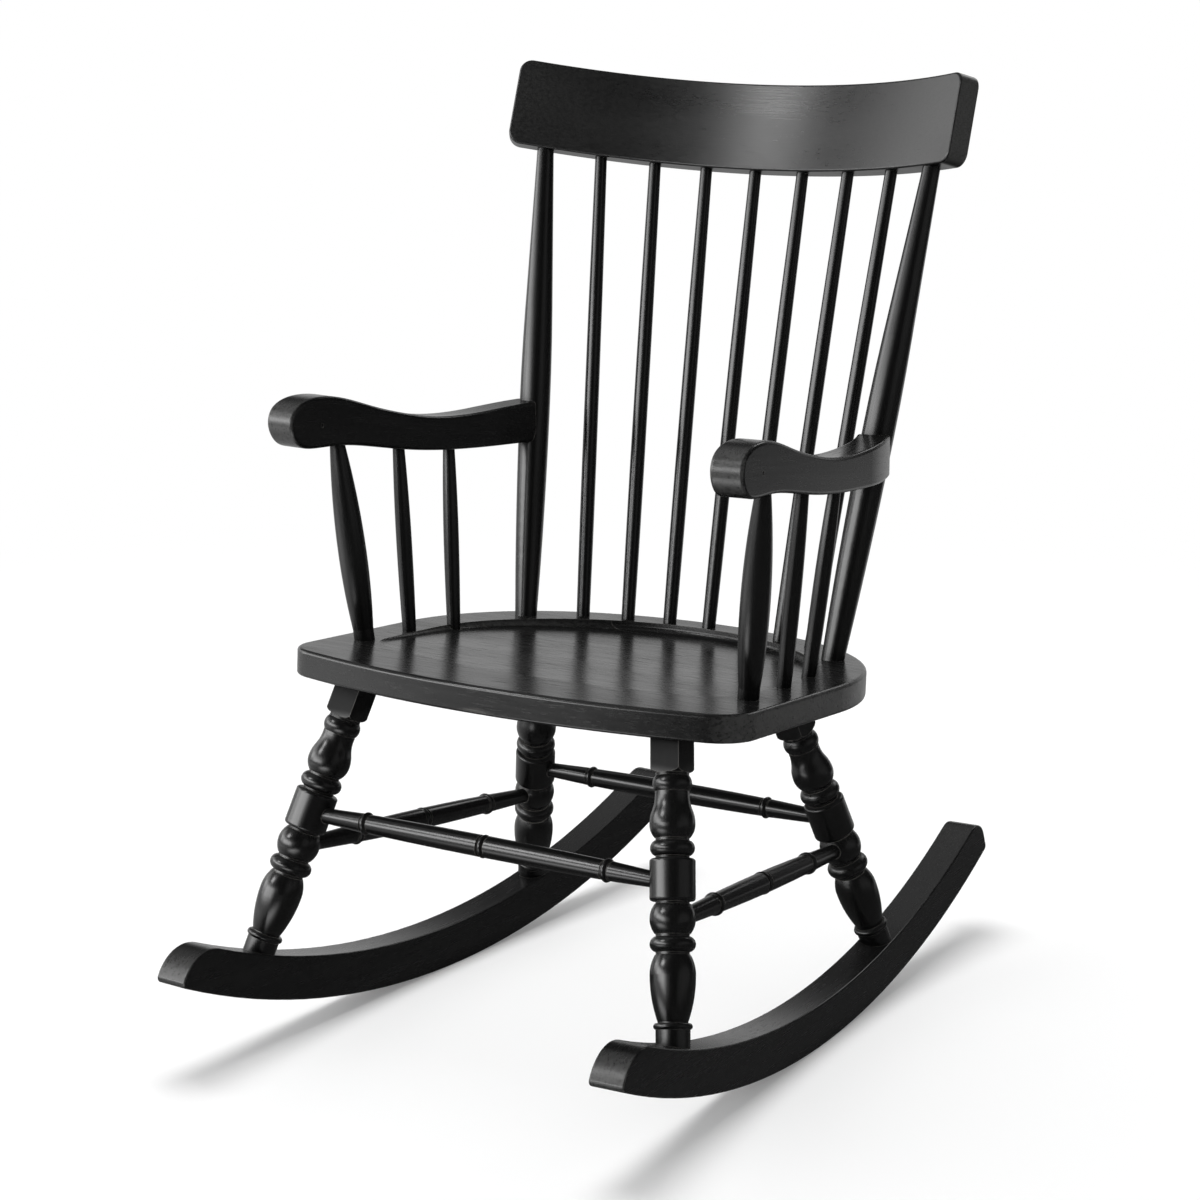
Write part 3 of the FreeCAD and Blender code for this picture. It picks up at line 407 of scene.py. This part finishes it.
    def _wear_and_highlight_mask(self, board: NodeBoard, wood: WoodPattern) -> Socket:
        """Mask of the arrises' wear and painted highlight, broken up by the figure.

        Args:
            board: The material's node board.
            wood: The wood's figure.

        Returns:
            The socket with the mask.
        """
        geometry = board.add("ShaderNodeNewGeometry")
        rounded = board.add("ShaderNodeBevel", {"Radius": self.arris}, samples=self.EDGE_SAMPLES)
        agree = board.add(
            "ShaderNodeVectorMath",
            {0: geometry.outputs["Normal"], 1: rounded.outputs[0]}, operation="DOT_PRODUCT",
        )
        edge = board.spread(agree.outputs["Value"], *self.ARRIS_SPAN)
        mottle = board.math("ADD", wood.cloud, board.math("MULTIPLY", wood.fibre, self.ARRIS_FIBRE))
        patchy = board.spread(mottle, *self.ARRIS_FIGURE_SPAN, self.ARRIS_LEAST, 1.0)
        return board.math("MULTIPLY", edge, patchy)

    def _end_grain(self, board: NodeBoard, lay: GrainLay, wood: WoodPattern) -> Socket:
        """Mask of the faces that cut across the grain, broken up by the figure.

        Args:
            board: The material's node board.
            lay: Where the piece's grain runs.
            wood: The wood's figure.

        Returns:
            The socket with the mask.
        """
        geometry = board.add("ShaderNodeNewGeometry")
        along = board.add(
            "ShaderNodeVectorMath", {0: geometry.outputs["Normal"], 1: lay.along}, operation="DOT_PRODUCT",
        )
        facing = board.spread(board.math("ABSOLUTE", along.outputs["Value"]), *self.END_SPAN)
        patchy = board.spread(wood.fibre, *self.END_FIBRE_SPAN, self.END_LEAST, 1.0)
        return board.math("MULTIPLY", facing, patchy)

    def _coat(
        self, board: NodeBoard, wood: WoodPattern, ends: Socket, edge_wear_and_highlight: Socket, seam: Socket | float
    ) -> Socket:
        """Colour of the paint.

        Args:
            board: The material's node board.
            wood: The wood's figure.
            ends: Mask of the end grain.
            edge_wear_and_highlight: Mask of the arrises' wear and painted highlight.
            seam: Mask of the glue lines, or 0 where there are none.

        Returns:
            The socket with the colour.
        """
        streaks = board.math("ADD", wood.fibre, board.math("MULTIPLY", wood.cloud, self.TONE_CLOUD))
        coat = board.mix(board.spread(streaks, *self.TONE_SPAN), self.black, self.thin)
        # End faces are painted lighter: the paint that end grain drank, and a painted highlight on the
        # noses.
        coat = board.mix(ends, coat, self.end_grain_and_highlight)
        coat = board.mix(board.math("MULTIPLY", wood.pore, self.TONE_PORE), coat, self.black)
        # The arrises take the pale colour: real wear, and a painted highlight along the edges.
        coat = board.mix(edge_wear_and_highlight, coat, self.pale_wear_and_highlight)
        return board.mix(board.math("MULTIPLY", seam, self.TONE_SEAM), coat, self.pale_wear_and_highlight)

    def _gloss(self, board: NodeBoard, wood: WoodPattern, ends: Socket, edge_wear_and_highlight: Socket) -> Socket:
        """Roughness of the paint.

        Args:
            board: The material's node board.
            wood: The wood's figure.
            ends: Mask of the end grain.
            edge_wear_and_highlight: Mask of the arrises' wear and painted highlight.

        Returns:
            The socket with the roughness.
        """
        dull = board.math(
            "ADD",
            board.math("MULTIPLY", wood.fibre, self.GLOSS_FIBRE),
            board.math("MULTIPLY", wood.cloud, self.GLOSS_CLOUD),
        )
        gloss = board.spread(dull, *self.GLOSS_SPAN, self.gloss_low, self.gloss_high)
        gloss = board.math("ADD", gloss, board.math("MULTIPLY", wood.pore, self.pore_gloss))
        gloss = board.math("ADD", gloss, board.math("MULTIPLY", ends, self.end_gloss))
        return board.add("ShaderNodeMix", {0: edge_wear_and_highlight, 2: gloss, 3: self.rubbed_gloss}).outputs[0]

    def _relief(
        self, board: NodeBoard, place: Socket, wood: WoodPattern, seam: Socket | float, figure: Figure
    ) -> Socket:
        """Fine relief of the painted surface.

        Args:
            board: The material's node board.
            place: Coordinates along and across the grain.
            wood: The wood's figure.
            seam: Mask of the glue lines, or 0 where there are none.
            figure: Heights of the figure.

        Returns:
            The socket with the bent normal.
        """
        peel = board.noise(place, (self.peel_waves,) * 3, *self.PEEL_NOISE)
        relief = board.math("MULTIPLY", wood.fibre, figure.fibre_depth)
        relief = board.math("SUBTRACT", relief, board.math("MULTIPLY", wood.pore, figure.pore_depth))
        relief = board.math("ADD", relief, board.math("MULTIPLY", peel, self.peel))
        relief = board.math("ADD", relief, board.math("MULTIPLY", seam, figure.fibre_depth))
        bump = board.add("ShaderNodeBump", {"Height": relief, "Strength": 1.0, "Distance": 1.0})
        return bump.outputs[0]

    def _sheen(self, board: NodeBoard) -> Socket:
        """Strength of the paint's sheen, which fades as painted shade in corners and under the seat.

        Args:
            board: The material's node board.

        Returns:
            The socket with the strength.
        """
        openness = board.add(
            "ShaderNodeAmbientOcclusion", {"Distance": self.corner}, samples=self.EDGE_SAMPLES,
        )
        # Painted shade: the sheen is cut down in corners and grooves.
        in_corner = self.FULL_SHEEN * self.corner_sheen
        sheen = board.spread(openness.outputs["AO"], *self.OPEN_SPAN, in_corner, self.FULL_SHEEN)
        # Painted shade: the sheen fades on the pieces just under the seat.
        if self.under_seat_shade:
            place = board.add("ShaderNodeTexCoord").outputs["Object"]
            height = board.add("ShaderNodeSeparateXYZ", {0: place}).outputs[2]
            kept = board.spread(height, *self.under_seat_shade, 1.0, self.corner_sheen)
            sheen = board.math("MULTIPLY", sheen, kept)
        return sheen


@dataclass(frozen=True)
class ScrewSteel:
    """Plain drawn steel of the hidden wood screws.

    Args:
        bright: Colour of the metal.
        dulled: Colour where it has dulled.
        grey: Roughness range.
    """

    bright: Rgb = (0.48, 0.47, 0.45)
    dulled: Rgb = (0.26, 0.25, 0.24)
    grey: Span = (0.28, 0.5)

    MOTTLE_WAVES = 420.0
    MOTTLE_NOISE = (3.0, 0.6)
    COLOUR_SPAN = (0.35, 0.65)
    GLOSS_SPAN = (0.3, 0.7)

    def material(self, name: str) -> bpy.types.Material:
        """Makes the metal's material.

        Args:
            name: Name of the material.

        Returns:
            The material.
        """
        made = bpy.data.materials.new(name)
        made.use_nodes = True
        board = NodeBoard(made.node_tree)
        place = board.add("ShaderNodeTexCoord").outputs["Object"]
        mottle = board.noise(place, (self.MOTTLE_WAVES,) * 3, *self.MOTTLE_NOISE)
        colour = board.mix(board.spread(mottle, *self.COLOUR_SPAN), self.bright, self.dulled)
        gloss = board.spread(mottle, *self.GLOSS_SPAN, *self.grey)
        shader = board.add(
            "ShaderNodeBsdfPrincipled", {"Base Color": colour, "Roughness": gloss, "Metallic": 1.0},
        )
        board.add("ShaderNodeOutputMaterial", {"Surface": shader.outputs[0]})
        return made


PAINT = SatinBlackPaint()
CREST_PAINT = replace(PAINT, gloss_low=0.26, gloss_high=0.34)
TURNED_PAINT = replace(
    PAINT, thin=(0.0052, 0.0052, 0.0051), end_grain_and_highlight=(0.006, 0.006, 0.006),
    gloss_low=0.22, gloss_high=0.25, pore_gloss=0.03,
)
# The legs' sheen fades just under the seat, as painted shade.
LEG_PAINT = replace(TURNED_PAINT, under_seat_shade=(0.374, 0.394))
# Near-black, dull paint on the pins stands in for the shade of a dark hole.
PIN_SHADE_PAINT = replace(
    PAINT, black=(0.001, 0.001, 0.001), thin=(0.0015, 0.0015, 0.0015), pale_wear_and_highlight=(0.002, 0.002, 0.002),
    end_grain_and_highlight=(0.0015, 0.0015, 0.0015), gloss_low=0.60, gloss_high=0.70,
)
STEEL = ScrewSteel()


def long_direction(piece: bpy.types.Object) -> Triple:
    """Direction in which a piece is longest.

    Args:
        piece: The piece, with its place in its mesh.

    Returns:
        A unit vector, pointing to the piece's upper or right or rear end.
    """
    points = np.array([vertex.co for vertex in piece.data.vertices])
    points -= points.mean(axis=0)
    spread = np.linalg.eigh(points.T @ points)
    direction = Vector(spread[1][:, 2].tolist())
    if sum(direction) < 0.0:
        direction.negate()
    return tuple(direction)


@dataclass
class SubAssembly:
    """A group of the chair's pieces that are finished alike.

    Args:
        nodes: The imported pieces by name.
        names: Names of this group's pieces.
        cut: How they were got out of their wood.
        first_figure: Number that sets the first piece's part of the figure.
        paint: Their paint.
    """

    nodes: dict[str, bpy.types.Object]
    names: tuple[str, ...] = ()
    cut: Cut = Cut.TURNED
    first_figure: int = 0
    paint: SatinBlackPaint = TURNED_PAINT

    FIGURE_STEP = (0.37, 0.23, 0.31)

    def lay(self, piece: bpy.types.Object, number: int) -> GrainLay:
        """Where one piece's grain runs: along its length, each with another part of the figure."""
        return GrainLay(long_direction(piece), tuple(step * number for step in self.FIGURE_STEP))

    def boards(self) -> float:
        """Width of the boards that each piece is glued up from, in metres, or 0."""
        return 0.0

    def dress(self) -> None:
        """Paints every piece of the group."""
        for number, name in enumerate(self.names, start=self.first_figure):
            piece = self.nodes[name]
            grain = self.lay(piece, number)
            give_finish(piece, self.paint.material(f"black_paint_{name}", self.cut, grain, self.boards()))


def give_finish(piece: bpy.types.Object, finish: bpy.types.Material) -> None:
    """Puts a finish on a piece.

    Args:
        piece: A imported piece.
        finish: Its material.
    """
    for slot in piece.material_slots:
        slot.material = finish
    LOG.info("%s: finished in %s", piece.name, finish.name)


@dataclass
class Seat(SubAssembly):
    """The seat: boards glued edge to edge, their grain running across the chair."""

    names: tuple[str, ...] = ("seat",)
    cut: Cut = Cut.PANEL
    first_figure: int = 3
    paint: SatinBlackPaint = PAINT
    board_width: float = 0.118

    def lay(self, piece: bpy.types.Object, number: int) -> GrainLay:
        """Grain from side to side, with the boards counted from the seat's front edge."""
        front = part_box(piece.name)[0].y
        return GrainLay((1.0, 0.0, 0.0), (number * self.FIGURE_STEP[0], front, 0.0))

    def boards(self) -> float:
        """Width of each board of the seat."""
        return self.board_width


@dataclass
class Crest(SubAssembly):
    """The crest rail: one wide board bent to the sitter's back."""

    names: tuple[str, ...] = ("crest_rail",)
    cut: Cut = Cut.BOARD
    first_figure: int = 11
    paint: SatinBlackPaint = CREST_PAINT

    def lay(self, piece: bpy.types.Object, number: int) -> GrainLay:
        """Grain along the rail."""
        return GrainLay((1.0, 0.0, 0.0), tuple(step * number for step in self.FIGURE_STEP))


@dataclass
class Back(SubAssembly):
    """The back's outer posts and its spindles."""

    names: tuple[str, ...] = (
        "back_post_left", "back_post_right", *(f"back_spindle_{count}" for count in range(1, 8)),
    )
    first_figure: int = 20


@dataclass
class Arms(SubAssembly):
    """Both arms, sawn to a wave."""

    names: tuple[str, ...] = ("arm_left", "arm_right")
    cut: Cut = Cut.SAWN
    first_figure: int = 40
    paint: SatinBlackPaint = PAINT


@dataclass
class ArmPins(SubAssembly):
    """Small pins through the arms' noses, painted near black and dull as painted shade of a dark hole."""

    names: tuple[str, ...] = ("arm_pins",)
    first_figure: int = 45
    paint: SatinBlackPaint = PIN_SHADE_PAINT


@dataclass
class ArmSupports(SubAssembly):
    """Posts and spindles under the arms."""

    names: tuple[str, ...] = (
        "arm_post_left", "arm_post_right", "arm_spindle_front_left", "arm_spindle_front_right",
        "arm_spindle_rear_left", "arm_spindle_rear_right",
    )
    first_figure: int = 50


@dataclass
class Undercarriage(SubAssembly):
    """Legs and stretchers."""

    names: tuple[str, ...] = (
        "front_leg_left", "front_leg_right", "back_leg_left", "back_leg_right", "front_stretcher",
        "back_stretcher", "side_stretcher_left", "side_stretcher_right",
    )
    first_figure: int = 60
    paint: SatinBlackPaint = LEG_PAINT


@dataclass
class Rockers(SubAssembly):
    """Both rockers."""

    names: tuple[str, ...] = ("rocker_left", "rocker_right")
    cut: Cut = Cut.SAWN
    first_figure: int = 80
    paint: SatinBlackPaint = PAINT


@dataclass
class Fastenings(SubAssembly):
    """Screws that hold the arms and the rockers, and the plugs that hide them."""

    names: tuple[str, ...] = ("arm_screw_plugs", "rocker_screw_plugs")
    cut: Cut = Cut.SAWN
    first_figure: int = 90
    paint: SatinBlackPaint = PAINT
    screws: tuple[str, ...] = ("arm_screws", "rocker_screws")

    def dress(self) -> None:
        """Paints the plugs, and leaves the screws in bare steel."""
        super().dress()
        steel = STEEL.material("screw_steel_bare")
        for name in self.screws:
            give_finish(self.nodes[name], steel)


class LampUse(Enum):
    """What a lamp is there for."""

    HIGHLIGHTS = "highlights"
    FLOOR_SHADOWS = "floor_shadows"


@dataclass(frozen=True)
class Softbox:
    """A soft lamp that faces the chair.

    Args:
        name: Name of the lamp.
        place: Where it stands, in metres.
        aim: The point that it faces.
        width: Width of its face, in metres.
        height: Height of its face, in metres.
        brightness: Radiance of its face, where 1 is white.
        use: Whether it draws highlights on the gloss, or lights the floor from above.
    """

    name: str
    place: Triple
    aim: Triple
    width: float
    height: float
    brightness: float
    use: LampUse = LampUse.HIGHLIGHTS

    def light(self, blockers: bpy.types.Collection) -> bpy.types.Object:
        """Makes the lamp.

        Args:
            blockers: Pieces that alone throw a shadow in the light from above.

        Returns:
            The lamp's object.
        """
        lamp = bpy.data.lights.new(self.name, "AREA")
        lamp.shape = "RECTANGLE"
        lamp.size = self.width
        lamp.size_y = self.height
        lamp.energy = math.pi * self.width * self.height * self.brightness
        holder = bpy.data.objects.new(self.name, lamp)
        holder.location = self.place
        towards = Vector(self.aim) - Vector(self.place)
        holder.rotation_euler = towards.to_track_quat("-Z", "Y").to_euler()
        holder.visible_camera = False
        if self.use is LampUse.HIGHLIGHTS:
            holder.visible_diffuse = False
        else:
            holder.visible_glossy = False
            holder.light_linking.blocker_collection = blockers
        bpy.context.scene.collection.objects.link(holder)
        return holder


@dataclass(frozen=True)
class Pool:
    """A pool of light on the floor, as the gloss sees it.

    Args:
        middle: Its middle, in metres.
        reach: Radii from which and to which it fades, in metres.
        brightness: Its brightness, where 1 is white.
    """

    middle: Triple
    reach: Span
    brightness: float


@dataclass
class Studio:
    """The white studio: floor, surroundings and lamps.

    Args:
        floor_half: Half the floor's side, in metres.
        floor_colour: The floor's own colour.
        near: Distance from the chair from which the floor turns into plain white, in metres.
        far: Distance from which it is plain white, in metres.
        least_white: Share of plain white next to the chair.
        gloss_side: Places across the floor between which its mirrored light fades, in metres.
        gloss_rear: Places behind the chair between which its mirrored light returns, in metres.
        gloss_dark: Brightness that is left of it on the dark side.
        gloss_white: Brightness of the white side, as the gloss sees it.
        gloss_right: Places across the floor behind the chair between which it fades on the right.
        pools: Pools of light on the floor, as the gloss sees them.
        dome: Radiance of the even dome of light.
        dome_fade: Heights of a unit direction between which the dome fades out.
        dome_tilt: Share by which the dome is brighter on the left, and weaker on the right.
        rear_glow: Brightness of the backdrop, as the gloss sees it.
        rear_fade: Heights of a unit direction between which the backdrop fades out.
        rear_depth: Depths of a unit direction between which the backdrop comes in.
        rear_side: Sides of a unit direction between which it fades to the right.
        left_glow: Brightness that the room adds on the far left, as the gloss sees it.
        left_side: Sides of a unit direction between which that fades.
        right_glow: Brightness that the room adds on the far right, as the gloss sees it.
        right_side: Sides of a unit direction between which that comes in.
        top_glow: Brightness of the ceiling on the left, as the gloss sees it.
        top_height: Heights of a unit direction between which the ceiling comes in.
        top_side: Sides of a unit direction between which it fades to the right.
        dark_glow: Brightness of the dark side of the room, as the gloss sees it.
        lamps: The lamps.
    """

    floor_half: float = 14.0
    floor_colour: Rgb = (0.94, 0.94, 0.94)
    near: float = 1.0
    far: float = 3.0
    least_white: float = 0.16
    gloss_side: Span = (-0.1, -0.9)
    gloss_rear: Span = (0.9, 1.7)
    gloss_dark: float = 0.08
    gloss_white: float = 0.62
    gloss_right: Span = (0.8, 1.7)
    pools: tuple[Pool, ...] = (
        Pool((-2.0, -1.4, 0.0), (0.4, 1.3), 1.0),
        Pool((-0.15, -1.05, 0.0), (0.12, 0.52), 4.2),
    )
    dome: float = 0.92
    dome_fade: Span = (0.4, 1.0)
    dome_tilt: float = 0.6
    rear_glow: float = 0.72
    rear_fade: Span = (0.08, 0.40)
    rear_depth: Span = (-0.30, 0.45)
    rear_side: Span = (-0.20, 0.45)
    left_glow: float = 0.3
    left_side: Span = (-0.85, -0.55)
    right_glow: float = 0.24
    right_side: Span = (0.70, 0.95)
    top_glow: float = 0.35
    top_height: Span = (0.45, 0.75)
    top_side: Span = (-0.35, 0.10)
    dark_glow: float = 0.03
    lamps: tuple[Softbox, ...] = (
        Softbox("left_softbox", (-5.0, -0.9, 2.3), (0.0, 0.0, 0.9), 4.0, 2.0, 2.0),
        Softbox("front_left_softbox", (-3.7, -3.95, 1.6), (0.0, 0.0, 0.8), 9.4, 2.1, 3.1),
        Softbox("front_left_heart", (-3.2, -4.7, 1.6), (0.0, 0.0, 0.8), 4.6, 1.5, 4.6),
        Softbox("front_softbox", (-0.2, -5.6, 1.7), (0.0, 0.0, 0.8), 3.0, 1.8, 0.6),
        Softbox("key_softbox", (-4.0, -4.7, 5.4), (0.0, 0.0, 0.4), 2.0, 2.0, 12.0),
        Softbox("rear_softbox", (0.1, 4.2, 3.2), (0.0, 0.0, 0.4), 2.0, 1.4, 2.5),
        Softbox(
            "ceiling_softbox", (-1.4, 0.6, 7.0), (0.0, 0.0, 0.0), 4.2, 4.2, 7.6, LampUse.FLOOR_SHADOWS,
        ),
    )

    def build(self, low_pieces: Iterable[bpy.types.Object]) -> None:
        """Makes the floor, the surroundings and the lamps.

        Args:
            low_pieces: Pieces close to the floor, which throw its contact shadows.
        """
        self._floor()
        self._surroundings()
        blockers = bpy.data.collections.new("contact_shadows")
        for piece in low_pieces:
            blockers.objects.link(piece)
        for lamp in self.lamps:
            lamp.light(blockers)

    def _floor(self) -> None:
        """Makes the pale floor that keeps the chair's shadow."""
        form = bmesh.new()
        bmesh.ops.create_grid(form, x_segments=1, y_segments=1, size=self.floor_half)
        mesh = bpy.data.meshes.new("studio_floor")
        form.to_mesh(mesh)
        form.free()
        floor = bpy.data.objects.new("studio_floor", mesh)
        bpy.context.scene.collection.objects.link(floor)
        floor.data.materials.append(self._floor_paint())

    def _floor_paint(self) -> bpy.types.Material:
        """Material of the floor: lit near the chair, plain white further off."""
        made = bpy.data.materials.new("studio_floor_paint")
        made.use_nodes = True
        board = NodeBoard(made.node_tree)
        place = board.add("ShaderNodeTexCoord").outputs["Object"]
        away = board.add("ShaderNodeVectorMath", {0: place}, operation="LENGTH").outputs["Value"]
        path = board.add("ShaderNodeLightPath")
        lit = board.add("ShaderNodeBsdfDiffuse", {"Color": (*self.floor_colour, 1.0)})
        white = board.add("ShaderNodeEmission", {"Color": WHITE, "Strength": 1.0})
        far = board.spread(away, self.near, self.far, self.least_white, 1.0)
        seen = board.add("ShaderNodeMixShader", {0: far, 1: lit.outputs[0], 2: white.outputs[0]})
        mirrored = board.add(
            "ShaderNodeEmission", {"Color": WHITE, "Strength": self._mirrored_floor(board, place)},
        )
        first = board.add("ShaderNodeMixShader", {
            0: path.outputs["Is Camera Ray"], 1: lit.outputs[0], 2: seen.outputs[0],
        })
        surface = board.add("ShaderNodeMixShader", {
            0: board.mirrored(path), 1: first.outputs[0], 2: mirrored.outputs[0],
        })
        board.add("ShaderNodeOutputMaterial", {"Surface": surface.outputs[0]})
        return made

    def _mirrored_floor(self, board: NodeBoard, place: Socket) -> Socket:
        """Brightness of the floor as the gloss sees it: white on the left and behind, dark on the right.

        Args:
            board: The floor material's node board.
            place: Coordinates on the floor, in metres.

        Returns:
            The socket with the brightness.
        """
        axes = board.add("ShaderNodeSeparateXYZ", {0: place})
        left = board.spread(axes.outputs[0], self.gloss_side[1], self.gloss_side[0], 1.0, 0.0)
        near_middle = board.spread(axes.outputs[0], *self.gloss_right, 1.0, 0.0)
        behind = board.math("MULTIPLY", board.spread(axes.outputs[1], *self.gloss_rear), near_middle)
        white_side = board.math("MAXIMUM", left, behind)
        light = board.spread(white_side, 0.0, 1.0, self.gloss_dark, self.gloss_white)
        for pool in self.pools:
            away = board.add("ShaderNodeVectorMath", {0: place, 1: pool.middle}, operation="DISTANCE")
            glow = board.spread(away.outputs["Value"], *pool.reach, pool.brightness, 0.0)
            light = board.math("ADD", light, glow)
        return light

    def _surroundings(self) -> None:
        """Makes the world: white to the camera, a dome of light, and a bright backdrop to the gloss."""
        world = bpy.data.worlds.new("white_studio")
        world.use_nodes = True
        bpy.context.scene.world = world
        board = NodeBoard(world.node_tree)
        towards = board.add("ShaderNodeTexCoord").outputs["Generated"]
        axes = board.add("ShaderNodeSeparateXYZ", {0: towards})
        path = board.add("ShaderNodeLightPath")
        diffuse = board.add("ShaderNodeBackground", {"Color": WHITE, "Strength": self._dome(board, axes)})
        mirrored = board.add(
            "ShaderNodeBackground", {"Color": WHITE, "Strength": self._mirrored_room(board, axes)},
        )
        white = board.add("ShaderNodeBackground", {"Color": WHITE, "Strength": 1.0})
        first = board.add("ShaderNodeMixShader", {
            0: board.mirrored(path), 1: diffuse.outputs[0], 2: mirrored.outputs[0],
        })
        both = board.add("ShaderNodeMixShader", {
            0: path.outputs["Is Camera Ray"], 1: first.outputs[0], 2: white.outputs[0],
        })
        board.add("ShaderNodeOutputWorld", {"Surface": both.outputs[0]})

    def _dome(self, board: NodeBoard, axes: bpy.types.Node) -> Socket:
        """Radiance of the dome that lights the chair.

        Args:
            board: The world's node board.
            axes: The parts of a unit direction.

        Returns:
            The socket with the radiance.
        """
        height = board.spread(axes.outputs[2], *self.dome_fade, self.dome, 0.0)
        tilt = board.math("ADD", board.math("MULTIPLY", axes.outputs[0], -self.dome_tilt), 1.0)
        return board.math("MULTIPLY", height, tilt)

    def _mirrored_room(self, board: NodeBoard, axes: bpy.types.Node) -> Socket:
        """Brightness of the room as the gloss sees it.

        Args:
            board: The world's node board.
            axes: The parts of a unit direction.

        Returns:
            The socket with the brightness.
        """
        side, depth, height = axes.outputs
        low = board.spread(height, *self.rear_fade, 1.0, 0.0)
        backdrop = board.math(
            "MULTIPLY",
            board.spread(depth, *self.rear_depth),
            board.spread(side, *self.rear_side, 1.0, 0.0),
        )
        backdrop = board.math("MULTIPLY", backdrop, low)
        glow = board.spread(backdrop, 0.0, 1.0, self.dark_glow, self.rear_glow)
        leftmost = board.spread(side, *self.left_side, self.left_glow, 0.0)
        glow = board.math("ADD", glow, board.math("MULTIPLY", leftmost, low))
        glow = board.math("ADD", glow, board.spread(side, *self.right_side, 0.0, self.right_glow))
        ceiling = board.math(
            "MULTIPLY",
            board.spread(height, *self.top_height, 0.0, self.top_glow),
            board.spread(side, *self.top_side, 1.0, 0.0),
        )
        return board.math("ADD", glow, ceiling)


@dataclass(frozen=True)
class PhotoCamera:
    """The camera, at the photograph's angle.

    Args:
        place: Where it stands, in metres.
        yaw: Turn about the vertical from looking along +Y, anticlockwise, in degrees.
        pitch: Tilt down from the horizon, in degrees.
        frame_pixels: Side of the square picture.
        focal_pixels: Focal length in pixels of that picture.
        off_centre: Shift of the picture in its pixels, across and up.
        sensor: Width of the sensor, in millimetres.
    """

    place: Triple = (1.8164, -2.9166, 1.2775)
    yaw: float = 32.13
    pitch: float = 12.82
    frame_pixels: float = 1200.0
    focal_pixels: float = 2977.8
    off_centre: Span = (-8.8, 2.8)
    sensor: float = 36.0

    def build(self) -> bpy.types.Object:
        """Makes the camera and gives it to the scene.

        Returns:
            The camera's object.
        """
        lens = bpy.data.cameras.new("photo_camera")
        lens.sensor_width = self.sensor
        lens.lens = self.focal_pixels / self.frame_pixels * self.sensor
        lens.shift_x = self.off_centre[0] / self.frame_pixels
        lens.shift_y = self.off_centre[1] / self.frame_pixels
        camera = bpy.data.objects.new("photo_camera", lens)
        turn = Matrix.Rotation(math.radians(self.yaw), 4, "Z")
        tilt = Matrix.Rotation(math.radians(90.0 - self.pitch), 4, "X")
        camera.matrix_world = Matrix.Translation(self.place) @ turn @ tilt
        bpy.context.scene.collection.objects.link(camera)
        bpy.context.scene.camera = camera
        return camera


def main() -> None:
    """Dresses the chair piece by piece, then sets the studio and the camera."""
    logging.basicConfig(level=logging.INFO, format="%(name)s: %(message)s")
    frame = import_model()
    nodes = frame["nodes"]
    for group in (Seat, Crest, Back, Arms, ArmPins, ArmSupports, Undercarriage, Rockers, Fastenings):
        group(nodes).dress()
    Studio().build(nodes[name] for name in Rockers.names)
    PhotoCamera().build()
    bpy.context.scene.view_settings.view_transform = "Standard"


if __name__ == "__main__":
    main()
